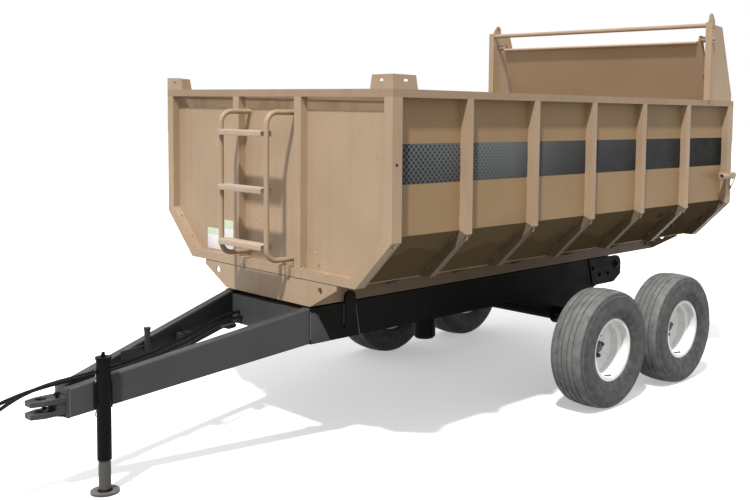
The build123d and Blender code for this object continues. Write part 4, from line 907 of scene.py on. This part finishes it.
@dataclass
class Tyre:
    """Ribbed implement tyre with a rounded crown and wavy grooves."""

    wheel: str
    centre: Vector
    radius: float = 390.0
    half_width: float = 136.5
    grooves: tuple[float, ...] = (21.5, 59.5)
    groove_half: float = 3.6
    groove_depth: float = 9.0
    waves: int = 54
    wave_depth: float = 0.0016

    def crown(self, x: float) -> float:
        """Radius of the rounded crown at a distance from the centre plane."""
        return self.radius - x * x / 1300.0

    def half_profile(self) -> list[tuple[float, float]]:
        """Outer half section, from the crown's middle to the bead."""
        points = [(0.0, self.crown(0.0)), (9.0, self.crown(9.0))]
        for groove in self.grooves:
            inner, outer = groove - self.groove_half, groove + self.groove_half
            points += [(inner - 2.0, self.crown(inner)), (inner, self.crown(inner) - 1.2),
                       (inner + 0.8, self.crown(groove) - self.groove_depth),
                       (outer - 0.8, self.crown(groove) - self.groove_depth),
                       (outer, self.crown(outer) - 1.2), (outer + 2.0, self.crown(outer)),
                       (groove + 16.0, self.crown(groove + 16.0))]
        points += [(88.0, self.crown(88.0)), (98.0, self.crown(98.0)), (107.0, 380.0), (114.0, 376.0),
                   (119.5, 370.0), (123.0, 362.0), (126.5, 352.0), (127.4, 349.0), (129.0, 348.0),
                   (132.0, 336.0), (134.6, 322.0), (136.0, 308.0), (self.half_width, 295.0), (136.2, 280.0),
                   (134.6, 266.0), (132.0, 252.0), (130.6, 250.0), (129.0, 248.5), (127.0, 238.0),
                   (122.0, 226.0), (117.0, 217.0), (112.0, 210.0), (106.0, 206.5), (99.5, 204.0),
                   (99.5, 192.0)]
        return points

    def build(self) -> None:
        """Spin the tyre and wave its grooves."""
        half = self.half_profile()
        profile = [(-x, r) for x, r in reversed(half[1:])] + half
        form = Form(f"ribbed_tyre_{self.wheel}")
        form.turned([(x / 1000, r / 1000) for x, r in profile], self.centre, outward(1), self.waves * 4)
        reach = max(self.grooves) + 2 * self.groove_half
        for vert in form.mesh.verts:
            offset = vert.co - self.centre
            radius = math.hypot(offset.y, offset.z)
            near = min(abs(abs(offset.x * 1000) - groove) for groove in self.grooves)
            if radius > 0.37 and abs(offset.x) * 1000 < reach and near < 2 * self.groove_half:
                vert.co.x += self.wave_depth * math.sin(self.waves * math.atan2(offset.z, offset.y))
        rubber = Rubber((abs(self.centre.x), self.centre.y, self.centre.z)).make(f"rubber_{self.wheel}")
        form.finish(f"wheel_{self.wheel}", rubber, Slot.TYRE, (f"tyre_{self.wheel}",), crease=28.0)


@dataclass
class Wheel:
    """Rim and hub details of one wheel: rolled lip, valve, grease cap and stud ends."""

    side: str
    place: str
    lip_x: float = 101.5
    lip_radius: float = 207.5
    lip_roll: float = 2.6
    disc_face: float = -44.0
    stud_circle: float = 78.0
    stud_count: int = 6

    def build(self, palette: Palette) -> None:
        """Dress the wheel.

        Args:
            palette: Finishes.
        """
        name = f"{self.side}_{self.place}"
        body = f"wheel_{name}"
        sign = SIDES[self.side]
        centre = at(sign * WHEEL_X, WHEEL_Y[self.place], AXLE_Z)
        out = outward(sign)
        Tyre(name, centre).build()
        lip = Form(f"rim_lip_{name}")
        turns = [math.tau * step / 10 for step in range(10)]
        for along in (self.lip_x, -self.lip_x):
            ring = [((along + self.lip_roll * math.cos(turn)) / 1000,
                     (self.lip_radius + self.lip_roll * math.sin(turn)) / 1000) for turn in turns]
            lip.turned(ring, centre, out, 96)
        lip.finish(body, palette.white, Slot.WHITE)
        cap = Form(f"grease_cap_{name}")
        cap.turned([(-0.0075, 0.0), (-0.0075, 0.033), (-0.003, 0.033), (0.001, 0.031), (0.006, 0.025),
                    (0.0095, 0.014), (0.0105, 0.0)], centre, out, 40)
        for index in range(self.stud_count):
            angle = math.tau * index / self.stud_count
            stud = centre + Vector((0.0, math.cos(angle), math.sin(angle))) * self.stud_circle / 1000
            cap.bar(stud + out * (self.disc_face + 15) / 1000, stud + out * (self.disc_face + 26) / 1000, 0.0075,
                    0.0066, 16, 0.001)
            cap.bar(stud + out * (self.disc_face - 1) / 1000, stud + out * (self.disc_face + 3) / 1000, 0.0185,
                    0.0165, 20, 0.0008)
        cap.finish(body, palette.grease, Slot.DARK)
        valve = Form(f"valve_{name}")
        foot = centre + Vector((sign * 0.046, 0.0, -0.1815))
        valve.wire([foot, foot + Vector((sign * 0.014, 0.0, 0.004)), foot + Vector((sign * 0.040, 0.0, 0.010))],
                   0.0042)
        valve.bar(foot + Vector((sign * 0.038, 0.0, 0.0095)), foot + Vector((sign * 0.049, 0.0, 0.0115)), 0.0052,
                  sides=12, bevel=0.0008)
        valve.finish(body, palette.hose, Slot.DARK)
        show(f"rim_{name}", palette.white)
        show(f"hub_{name}", palette.grease)


@dataclass
class Ladder:
    """Bent tube rails, rungs of folded plate with raised grip studs, and small plates at the feet."""

    half: float = 209.0
    rung_top: float = 1804.0
    pitch: float = 318.0
    count: int = 3
    front: float = -186.0
    rear: float = -112.0
    lip: float = 32.0
    wall: float = 3.0
    rail: tuple[float, float, float, float] = (222.0, -155.0, 1908.0, 1076.0)
    bend: float = 70.0
    rail_radius: float = 0.0155
    rail_end: float = 45.0
    stud_pitch: float = 21.0
    stud_edge: float = 8.0
    stud: tuple[float, float] = (0.0046, 0.0032)

    def build(self, palette: Palette) -> None:
        """Fold the rungs and press the studs.

        Args:
            palette: Finishes.
        """
        form = Form("ladder_rung_plates")
        along = outward(1, 2 * self.half / 1000)
        width = 2 * (self.half - self.stud_edge)
        columns = int(width / self.stud_pitch)
        front, rear, wall = self.front, self.rear, self.wall
        for index in range(self.count):
            top = self.rung_top - index * self.pitch
            foot = top - self.lip
            section = [(front, top), (rear, top), (rear, foot), (rear - wall, foot), (rear - wall, top - wall),
                       (front + wall, top - wall), (front + wall, foot), (front, foot)]
            form.plate([at(-self.half, y, z) for y, z in section], along, 0.0012)
            for column in range(columns + 1):
                x = -self.half + self.stud_edge + column * width / columns
                for row in (0.22, 0.5, 0.78):
                    form.dome(at(x, front + (rear - front) * row, top - 0.4), UP, *self.stud)
                for drop in (0.34, 0.74):
                    form.dome(at(x, front + 0.4, top - self.lip * drop), FORWARD, *self.stud)
        form.finish(Body.TUB, palette.tan_bright, Slot.TAN, ("ladder_rungs",))
        self.rails(palette)

    def rails(self, palette: Palette) -> None:
        """Bend the rails and weld small plates to their feet."""
        half, front, top, bottom = self.rail
        bend = self.bend
        turns = [math.radians(angle) for angle in range(0, 91, 9)]
        path = [(self.rail_end, top),
                *((front + bend - bend * math.sin(turn), top - bend + bend * math.cos(turn)) for turn in turns),
                *((front + bend - bend * math.cos(turn), bottom + bend - bend * math.sin(turn)) for turn in turns),
                (self.rail_end, bottom)]
        form = Form("ladder_tubes")
        for x in (-half, half):
            form.wire([at(x, y, z) for y, z in path], self.rail_radius, smooth=False, fineness=6)
            for z in (top, bottom):
                form.bar(at(x, self.rail_end + 0.2, z), at(x, self.rail_end - 4.0, z), 0.024, sides=28, bevel=0.001)
        form.finish(Body.TUB, palette.tan, Slot.TAN, ("ladder_rails",))


@dataclass
class SideBands:
    """Stripe film along both sides, one strip in each bay between the ribs."""

    thick: float = 0.0006
    low: float = 1544.0
    top: float = 1756.0
    gap: float = 1.0

    def build(self, palette: Palette) -> None:
        """Lay the strips.

        Args:
            palette: Finishes.
        """
        for name, sign in SIDES.items():
            form = Form(f"stripe_film_{name}")
            for front, rear in zip(BAY_EDGES[::2], BAY_EDGES[1::2]):
                front, rear = front + self.gap, rear - self.gap
                outline = [(front, self.low), (rear, self.low), (rear, self.top), (front, self.top)]
                form.plate([at(sign * SHEET_X, y, z) for y, z in outline], outward(sign, self.thick), 0.0001)
            form.finish(Body.TUB, palette.band, Slot.BLACK)


@dataclass
class Labels:
    """Two blank labels side by side on the front wall's sheet."""

    left: tuple[float, float, float, float] = (-683.0, -524.0, 1042.0, 1173.0)
    right: tuple[float, float, float, float] = (-496.0, -386.0, 1050.0, 1235.0)
    face: float = 44.9
    thick: float = 0.0004
    head_share: float = 0.30

    def build(self) -> None:
        """Stick the labels on."""
        for name, (left, right, low, top) in (("left", self.left), ("right", self.right)):
            form = Form(f"blank_label_{name}")
            outline = [(left, low), (right, low), (right, top), (left, top)]
            form.plate([at(x, self.face, z) for x, z in outline], FORWARD * self.thick, 0.0001)
            head = (top - (top - low) * self.head_share) / 1000
            form.finish(Body.TUB, LabelPrint(f"label_film_{name}", head).make(), Slot.WHITE)


@dataclass
class Welds:
    """Stitch welds that hold the ribs to the side, slope and front sheets."""

    radius: float = 0.0030
    stitch: float = 62.0
    gap: float = 165.0
    side: tuple[float, float] = (1290.0, 1985.0)
    slope: tuple[float, float, float, float] = (775.0, 1029.0, 1000.0, 1246.0)
    front: tuple[float, float, float] = (45.0, 1050.0, 1915.0)
    front_x: tuple[float, ...] = (-329.0, -269.0, 269.0, 329.0)

    def run(self, form: Form, start: Vector, end: Vector) -> None:
        """Stitch along a line.

        Args:
            form: Piece that takes the beads.
            start: Start of the line.
            end: End of the line.
        """
        length = (end - start).length * 1000
        along = (end - start).normalized()
        count = max(1, int((length - self.stitch) / self.gap) + 1)
        free = (length - self.stitch) / max(1, count - 1) if count > 1 else 0.0
        for index in range(count):
            foot = start + along * (index * free / 1000)
            form.bead(foot, foot + along * self.stitch / 1000, self.radius)

    def build(self, palette: Palette) -> None:
        """Weld the ribs on both sides and the front.

        Args:
            palette: Finishes.
        """
        low, top = self.side
        foot_x, foot_z, fold_x, fold_z = self.slope
        for name, sign in SIDES.items():
            form = Form(f"rib_welds_{name}")
            for edge in BAY_EDGES:
                self.run(form, at(sign * SHEET_X, edge, low), at(sign * SHEET_X, edge, top))
                self.run(form, at(sign * foot_x, edge, foot_z), at(sign * fold_x, edge, fold_z))
            form.finish(Body.TUB, palette.weld, Slot.TAN)
        form = Form("front_welds")
        y, low, top = self.front
        for x in self.front_x:
            self.run(form, at(x, y, low), at(x, y, top))
        form.finish(Body.TUB, palette.weld, Slot.TAN)


@dataclass
class SlopeHooks:
    """Painted pegs on the ribs at the fold, and bent rod rings on the slopes, for the sheet's ropes."""

    peg_y: tuple[float, ...] = (26.0, 572.0, 1155.0, 1738.0, 2321.0, 2904.0)
    peg: tuple[tuple[float, float], ...] = ((1049, 1228), (1060, 1219), (1067, 1221), (1068, 1234), (1068, 1246))
    rings: tuple[tuple[Point, ...], ...] = (
        ((974, 2734, 1221), (947, 2734, 1195), (922, 2785, 1171), (964, 2793, 1211)),
        ((865, 3078, 1116), (826, 3151, 1077), (789, 3181, 1042), (804, 3082, 1056)))

    def build(self, palette: Palette) -> None:
        """Fit pegs and rings.

        Args:
            palette: Finishes.
        """
        for name, sign in SIDES.items():
            pegs = Form(f"rope_pegs_{name}")
            for y in self.peg_y:
                pegs.wire([at(sign * x, y, z) for x, z in self.peg], 0.0042)
            pegs.finish(Body.TUB, palette.tan, Slot.TAN)
            rings = Form(f"rope_rings_{name}")
            for points in self.rings:
                rings.wire([at(sign * x, y, z) for x, y, z in points], 0.005)
            rings.finish(Body.TUB, palette.black, Slot.BLACK)


@dataclass
class Chain:
    """Hanging chain of oval links."""

    links: int
    radius: float

    def hang(self, form: Form, top: Vector, foot: Vector) -> None:
        """Hang it between two points.

        Args:
            form: Piece that takes the links.
            top: Upper end.
            foot: Lower end.
        """
        run = (foot - top) / self.links
        along = run.normalized()
        half = run.length * 0.62
        wide = self.radius * 2.1
        for index in range(self.links):
            middle = top + run * (index + 0.5)
            across = along.orthogonal().normalized()
            if index % 2:
                across = along.cross(across)
            ring = [middle + along * half * u + across * wide * v
                    for u, v in ((1, 0), (0.8, 1), (-0.8, 1), (-1, 0), (-0.8, -1), (0.8, -1))]
            form.wire(ring, self.radius, closed=True, fineness=1)


@dataclass
class Latch:
    """Tailgate latch at the rear posts: a short tube, a lever plate, a pin and its chain."""

    front: float = 3383.0
    z: float = 1462.0
    middle: float = 25.0
    tube: tuple[float, float] = (0.021, 0.0165)

    def build(self, palette: Palette) -> None:
        """Fit a latch on both sides.

        Args:
            palette: Finishes.
        """
        outer, bore = self.tube
        front, middle, z = self.front, self.middle, self.z
        turns = [math.radians(angle) for angle in range(0, 181, 20)]
        arc = [(3546 + 26 * math.sin(turn), z + 4 + 26 * math.cos(turn)) for turn in turns]
        lever = [(3462, z + 18), (3500, z + 30), *arc, (3462, z - 16)]
        for name, sign in SIDES.items():
            form = Form(f"latch_{name}")
            form.turned([(0.0, outer - 0.001), (0.001, outer), (0.089, outer), (0.090, outer - 0.001),
                         (0.090, bore), (0.0, bore)], beside(sign, middle, front, z), REARWARD, 40)
            form.block(beside(sign, 0, front - 2, z - 30), beside(sign, 4, 3572, z + 30), 0.0012)
            form.block(beside(sign, 0, front + 4, z - 18), beside(sign, middle, front + 86, z - 10), 0.0012)
            form.plate([beside(sign, 38, y, height) for y, height in lever], outward(sign, 0.009), 0.0018)
            form.plate([beside(sign, 14, 3476, z - 12), beside(sign, 14, 3570, z - 20),
                        beside(sign, 44, 3570, z - 20), beside(sign, 44, 3476, z - 12)], UP * -0.006, 0.0012)
            form.bar(beside(sign, middle, front + 22, z), beside(sign, middle, 3564, z), 0.0125, bevel=0.0015)
            form.bead(beside(sign, 5, front + 4, z + 20), beside(sign, 5, front + 86, z + 20), 0.003)
            form.finish(Body.TUB, palette.tan, Slot.TAN, ("tailgate_latches",))
            chain = Form(f"latch_chain_{name}")
            Chain(9, 0.0022).hang(chain, beside(sign, 40, 3564, z - 22), beside(sign, 4, 3560, z - 102))
            chain.finish(Body.TUB, palette.leg, Slot.ZINC)


@dataclass
class Gate:
    """Top bar of the tailgate, and on its posts the rounded heads, pin nuts and small bolts."""

    pin: Point = (1056.0, 3244.0, 2491.0)
    head: Point = (3229.0, 2614.0, 49.0)
    head_drop: float = 34.0
    bar: Point = (950.0, 3204.0, 2469.0)
    nut: tuple[tuple[float, float, float, int, float], ...] = (
        (0.2, 3.0, 0.019, 32, 0.001), (3.0, 15.0, 0.0145, 6, 0.0014), (15.0, 20.0, 0.009, 20, 0.001))
    bolts: tuple[tuple[float, float], ...] = ((3178.0, 2420.0), (3178.0, 2250.0), (3178.0, 2105.0), (3210.0, 2080.0))

    def build(self, palette: Palette) -> None:
        """Fit them.

        Args:
            palette: Finishes.
        """
        half, y, z = self.bar
        top = Form("gate_top_bar")
        top.bar(at(-half, y, z), at(half, y, z), 0.011, bevel=0.0015)
        top.finish(Body.TAILGATE, palette.tan_bright, Slot.TAN)
        centre_y, centre_z, radius = self.head
        turns = [math.radians(angle) for angle in range(0, 181, 12)]
        outline = [*((centre_y + radius * math.cos(turn), centre_z + radius * math.sin(turn)) for turn in turns),
                   (centre_y - radius, centre_z - self.head_drop), (centre_y + radius, centre_z - self.head_drop)]
        x, pin_y, pin_z = self.pin
        for name, sign in SIDES.items():
            heads = Form(f"post_head_{name}")
            heads.plate([at(sign * (x + 0.2), y, z) for y, z in outline], outward(sign, 0.004), 0.0012)
            heads.finish(Body.TUB, palette.tan, Slot.TAN)
            nuts = Form(f"pin_nut_{name}")
            for start, end, size, sides, bevel in self.nut:
                nuts.bar(at(sign * (x + start), pin_y, pin_z), at(sign * (x + end), pin_y, pin_z), size,
                         sides=sides, bevel=bevel)
            for y, z in self.bolts:
                nuts.bolt(at(sign * x, y, z), outward(sign), 0.013, 0.005)
            nuts.finish(Body.TUB, palette.zinc, Slot.ZINC)


@dataclass
class Drawbar:
    """Welds, bolts, pin and knob on the drawbar, and the jack's crank end, bolts and chain."""

    jack: tuple[float, float] = (149.86, -1075.6)
    beads: tuple[tuple[float, ...], ...] = (
        (0, 640, 0, 800, 4.0), (1, 779, 55, 776, 4.5), (2, 655, 74, 662, 4.5), (74, 662, 108, 680, 4.5),
        (325, 818, 359, 620, 4.5), (241.5, 690, 241.5, 815, 4.0), (320.5, 690, 320.5, 815, 4.0))
    gusset: tuple[tuple[float, float], ...] = (
        (2.0, 618.0), (2.0, 792.0), (34.0, 792.0), (60.0, 762.0), (137.0, 622.0), (136.0, 618.0))
    hollow: float = 104.0
    plate_bolts: tuple[tuple[float, float], ...] = ((2700.0, 745.0), (2790.0, 690.0), (2900.0, 690.0))
    shaft: tuple[float, float] = (3000.0, 752.0)

    def build(self, palette: Palette) -> None:
        """Dress the drawbar.

        Args:
            palette: Finishes.
        """
        self.joints(palette)
        self.parking_jack(palette)
        self.hitch(palette)

    def joints(self, palette: Palette) -> None:
        """Beads round the joint plates, corner gussets, and bolts through the shaft plates."""
        welds, plates, bolts = Form("drawbar_welds"), Form("joint_gussets"), Form("shaft_plate_bolts")
        turns = [math.radians(angle) for angle in range(0, 91, 10)]
        corner = [(344.0, -1.0), *((230.0 + self.hollow * (1 - math.sin(turn)),
                                    -self.hollow + self.hollow * math.cos(turn)) for turn in turns),
                  (313.0, -108.0)]
        for sign in SIDES.values():
            x, out = sign * RAIL_X, outward(sign)
            for y, z, end_y, end_z, radius in self.beads:
                welds.bead(at(x, y, z), at(x, end_y, end_z), radius / 1000)
            welds.bead(at(sign * 67, -1208, 530), at(sign * 67, -1208, 398), 0.005)
            plates.plate([at(x, y, z) for y, z in self.gusset], out * 0.004, 0.0015)
            plates.plate([at(sign * across, y - 1, 612) for across, y in corner], UP * 0.008, 0.001)
            for y, z in self.plate_bolts:
                bolts.bolt(at(x, y, z), out, 0.024, 0.010)
            bolts.bar(at(sign * (RAIL_X - 1), *self.shaft), at(sign * (RAIL_X + 6), *self.shaft), 0.036, sides=40,
                      bevel=0.002)
            bolts.bolt(at(sign * (RAIL_X + 6), *self.shaft), out, 0.030, 0.012)
        welds.finish(Body.CHASSIS, palette.bead, Slot.DARK)
        plates.finish(Body.CHASSIS, palette.drawbar, Slot.DARK)
        bolts.finish(Body.CHASSIS, palette.black, Slot.BLACK)

    def parking_jack(self, palette: Palette) -> None:
        """Crank end, pin, bolts and chain of the parking jack."""
        x, y = self.jack
        form = Form("jack_fittings")
        form.turned([(0.0125, 0.0302), (0.0125, 0.037), (0.018, 0.032), (0.022, 0.0302)], at(x, y, 0), UP, 40)
        form.bar(at(x, y, 700), at(x, y, 712), 0.010, sides=6, bevel=0.001)
        form.dome(at(x, y, 712), UP, 0.007, 0.004, 6)
        form.bar(at(x - 52, y, 300), at(x + 52, y, 300), 0.008, sides=18, bevel=0.0012)
        for z in (470, 620):
            form.bolt(at(x, y - 35, z), FORWARD, 0.018, 0.007)
        form.finish(Body.CHASSIS, palette.black, Slot.BLACK)
        chain = Form("jack_chain")
        Chain(13, 0.0028).hang(chain, at(x - 35, y - 20, 622), at(x - 38, y - 20, 385))
        chain.finish(Body.CHASSIS, palette.shaft, Slot.ZINC)

    def hitch(self, palette: Palette) -> None:
        """Spacer pins and a knob at the jaws, with ribs under them."""
        form = Form("hitch_fittings")
        for x in (-38, 38):
            form.bar(at(x, -1290, 434), at(x, -1290, 470), 0.011, sides=20, bevel=0.001)
        form.turned([(0.0, 0.0), (0.0, 0.009), (0.012, 0.007), (0.016, 0.013), (0.024, 0.014), (0.030, 0.009),
                     (0.032, 0.0)], at(34, -1258, 495), UP, 24)
        for sign in SIDES.values():
            x = sign * 30
            form.plate([at(x, -1222, 409), at(x, -1290, 409), at(x, -1222, 392)], outward(sign, 0.008), 0.0012)
        form.finish(Body.CHASSIS, palette.black, Slot.BLACK)


@dataclass
class FrontWall:
    """Black strip in the gap under the sill as a painted shadow line, folded straps on the sill, weld spots beside
    them, and plugs in the corner posts.
    """

    shadow_strip: tuple[float, ...] = (636.0, 1.0, 974.3, 7.0, 977.7)
    strap_x: float = 220.0
    strap_half: float = 13.0
    strap: tuple[tuple[float, float], ...] = (
        (0.0, 979.0), (-16.0, 979.0), (-28.0, 1042.0), (-26.0, 1046.0), (44.0, 1042.0), (44.0, 1030.0),
        (0.0, 1030.0))
    spots: tuple[Point, ...] = (
        (456.0, 0.0, 1136.0), (345.0, 0.0, 1034.0), (331.0, 0.0, 1026.0), (565.0, 0.0, 1026.0),
        (-160.0, 44.6, 1276.0), (-941.0, 0.0, 1267.0), (-816.0, 0.0, 1154.0), (-842.0, 0.0, 1114.0),
        (-692.0, 0.0, 1056.0), (-770.0, 0.0, 1047.0))

    def build(self, palette: Palette) -> None:
        """Fit the black shadow strip, straps, spots and plugs.

        Args:
            palette: Finishes.
        """
        # Black strip between the sill and the bolster: a painted shadow line in the gap.
        half, front, low, rear, top = self.shadow_strip
        shadow_strip = Form("sill_shadow_strip")
        shadow_strip.block(at(-half, front, low), at(half, rear, top), 0.0004)
        shadow_strip.finish(Body.TUB, palette.black, Slot.BLACK)
        form = Form("sill_straps")
        for centre in (-self.strap_x, self.strap_x):
            form.plate([at(centre - self.strap_half, y, z) for y, z in self.strap],
                       outward(1, 2 * self.strap_half / 1000), 0.0015)
        for spot in self.spots:
            form.dome(at(*spot), FORWARD, 0.007, 0.004, 12)
        form.finish(Body.TUB, palette.tan_bright, Slot.TAN)
        plugs = Form("post_plugs")
        for sign in SIDES.values():
            plugs.turned([(-0.001, 0.0), (-0.001, 0.0075), (0.0008, 0.0075), (0.0016, 0.0065), (0.0016, 0.0055),
                          (0.0004, 0.0045), (0.0004, 0.0)], beside(sign, 0, 30, 1651), outward(sign), 28)
        plugs.finish(Body.TUB, palette.black, Slot.BLACK)


HOSES = (
    Hose("upper", ((-270, 0, 700), (-270, -70, 700), (-250, -180, 676), (-204, -300, 655), (-148, -420, 638),
                   (-113, -540, 621), (-86, -670, 598), (-62, -810, 583), (-38, -960, 573), (-12, -1110, 569),
                   (-13, -1260, 560), (-15, -1395, 534), (-14, -1500, 488), (-12, -1565, 452)), 1.631),
    Hose("lower", ((-246, 0, 670), (-246, -72, 670), (-226, -182, 652), (-180, -302, 634), (-124, -424, 616),
                   (-89, -542, 600), (-62, -672, 579), (-38, -812, 566), (-13, -962, 562), (13, -1112, 566),
                   (12, -1262, 561), (14, -1397, 547), (13, -1500, 524), (15, -1568, 505)), 1.616),
)


def show(node: str, material: bpy.types.Material) -> None:
    """Give a CAD node its finish.

    Args:
        node: Name of the node.
        material: Its finish.
    """
    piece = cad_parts[node]
    if not piece.material_slots:
        piece.data.materials.append(material)
    for place in piece.material_slots:
        place.material = material


def finish_nodes(palette: Palette) -> None:
    """Give every CAD node but the wheels' its finish.

    Args:
        palette: Finishes.
    """
    for material, nodes in (
            (palette.tan, ("front_wall", "front_ribs", "side_ribs", "corner_brackets", "bolsters",
                           "tub_crossmembers", "tipping_lugs", "ram_ears", "tailgate_posts",
                           "tailgate_crosstube", "tailgate_arms")),
            (palette.black, ("chassis_rails", "rail_plates", "guide_tabs", "bogie_hangers", "bogie_tube",
                             "walking_beams", "ram_cradle", "jack_tube", "ram_barrel")),
            (palette.drawbar, ("drawbar_arms", "hitch_nose", "chassis_crossbeams", "hitch_jaws")),
            (palette.under, ("slope_ribs", "tub_beams", "floor_gussets")),
            (palette.rim, ("rim_rail",)),
            (palette.leg, ("jack_leg",)),
            (palette.fittings, ("drawbar_fittings",)),
            (palette.sides, ("side_sheets",)),
            (palette.slopes, ("slope_sheets",)),
            (palette.lining, ("tub_floor", "tailgate_panel")),
            (palette.shaft, ("tipping_shaft", "wheel_spindles")),
            (palette.chrome, tuple(f"ram_stage_{stage}" for stage in range(1, 5)))):
        for node in nodes:
            show(node, material)
    LOG.info("finishes: %d nodes", len(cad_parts))


def build_trailer() -> None:
    """Make and dress everything."""
    palette = Palette()
    for hose in HOSES:
        hose.build(palette)
    finish_nodes(palette)
    for side in SIDES:
        for place in WHEEL_Y:
            Wheel(side, place).build(palette)
    for part in (Ladder(), SideBands(), Welds(), SlopeHooks(), Latch(), Gate(), Drawbar(), FrontWall()):
        part.build(palette)
    Labels().build()


@dataclass
class Studio:
    """White floor and sky with a steep lamp from the front, and the camera at the photograph's angle."""

    sky: float = 0.72
    sky_colour: Colour = (0.97, 0.985, 1.0)
    ground: float = 0.16
    floor_white: float = 0.90
    floor_glow: float = 0.38
    floor_half: float = 60.0
    sun: float = 3.9
    sun_colour: Colour = (1.0, 0.985, 0.955)
    sun_high: float = 57.5
    sun_aside: float = 28.0
    sun_size: float = 3.0
    eye: Point = (4.6981, -4.4446, 1.9349)
    turn: Point = (0.7374, 0.0769, 0.0157)
    lens: float = 46.74
    shift: tuple[float, float] = (-0.1356, -0.0860)

    def build(self) -> None:
        """Set up floor, world, lamp and camera."""
        self.floor()
        self.world()
        self.lamp()
        self.camera()
        bpy.context.scene.view_settings.view_transform = "Standard"
        LOG.info("studio ready")

    @staticmethod
    def shader(nodes: bpy.types.Nodes, kind: str, colour: Colour, strength: "float | None" = None) -> Socket:
        """One shader of a colour, with a strength if it gives light."""
        node = nodes.new(kind)
        node.inputs["Color"].default_value = (*colour, 1.0)
        if strength is not None:
            node.inputs["Strength"].default_value = strength
        return node.outputs[0]

    @staticmethod
    def choose(tree: bpy.types.NodeTree, lights: Socket, shown: Socket, output: str) -> None:
        """Show one shader to the camera, reflections and glass, and light the object with another.

        Args:
            tree: Node tree that holds both.
            lights: Shader that lights the object.
            shown: Shader that is seen.
            output: Type of the output node.
        """
        nodes, links = tree.nodes, tree.links
        path = nodes.new("ShaderNodeLightPath")
        seen = path.outputs["Is Camera Ray"]
        for name in ("Is Glossy Ray", "Is Transmission Ray"):
            node = nodes.new("ShaderNodeMath")
            node.operation = "MAXIMUM"
            links.new(seen, node.inputs[0])
            links.new(path.outputs[name], node.inputs[1])
            seen = node.outputs[0]
        pick = nodes.new("ShaderNodeMixShader")
        for socket, source in zip(pick.inputs, (seen, lights, shown)):
            links.new(source, socket)
        links.new(pick.outputs[0], nodes.new(output).inputs["Surface"])

    def floor(self) -> None:
        """Plain floor that looks white and keeps the trailer's soft shadow."""
        grid = bmesh.new()
        bmesh.ops.create_grid(grid, x_segments=4, y_segments=4, size=self.floor_half)
        mesh = bpy.data.meshes.new("floor")
        grid.to_mesh(mesh)
        grid.free()
        floor = put("floor", mesh)
        material = bpy.data.materials.new("floor_white")
        material.use_nodes = True
        tree = material.node_tree
        tree.nodes.clear()
        white = self.shader(tree.nodes, "ShaderNodeBsdfDiffuse", dim(EVEN, self.floor_white))
        glow = self.shader(tree.nodes, "ShaderNodeEmission", EVEN, self.floor_glow)
        both = tree.nodes.new("ShaderNodeAddShader")
        tree.links.new(white, both.inputs[0])
        tree.links.new(glow, both.inputs[1])
        dark = self.shader(tree.nodes, "ShaderNodeBsdfDiffuse", dim(EVEN, self.ground))
        self.choose(tree, dark, both.outputs[0], "ShaderNodeOutputMaterial")
        mesh.materials.append(material)

    def world(self) -> None:
        """Even sky that looks white."""
        world = bpy.data.worlds.new("sky")
        world.use_nodes = True
        tree = world.node_tree
        tree.nodes.clear()
        light = self.shader(tree.nodes, "ShaderNodeBackground", self.sky_colour, self.sky)
        white = self.shader(tree.nodes, "ShaderNodeBackground", EVEN)
        self.choose(tree, light, white, "ShaderNodeOutputWorld")
        bpy.context.scene.world = world

    def lamp(self) -> None:
        """Steep lamp in front of the trailer."""
        data = bpy.data.lights.new("key", "SUN")
        data.energy = self.sun
        data.angle = math.radians(self.sun_size)
        data.color = self.sun_colour
        high, aside = math.radians(self.sun_high), math.radians(self.sun_aside)
        towards = Vector((math.sin(aside) * math.cos(high), -math.cos(aside) * math.cos(high), math.sin(high)))
        put("key", data).matrix_world = aim(towards)

    def camera(self) -> None:
        """Camera at the photograph's place, with its lens and shift."""
        yaw, pitch, roll = self.turn
        forward = Vector((-math.sin(yaw) * math.cos(pitch), math.cos(yaw) * math.cos(pitch), -math.sin(pitch)))
        right = Vector((math.cos(yaw), math.sin(yaw), 0.0))
        upward = right.cross(forward)
        across = right * math.cos(roll) + upward * math.sin(roll)
        above = upward * math.cos(roll) - right * math.sin(roll)
        data = bpy.data.cameras.new("camera")
        data.lens = self.lens
        data.shift_x, data.shift_y = self.shift
        data.dof.use_dof = False
        camera = put("camera", data)
        camera.matrix_world = Matrix.Translation(self.eye) @ Matrix((across, above, -forward)).transposed().to_4x4()
        bpy.context.scene.camera = camera


def main() -> None:
    """Build the studio and the trailer."""
    logging.basicConfig(level=logging.INFO, format="%(message)s")
    Studio().build()
    build_trailer()


if __name__ == "__main__":
    main()
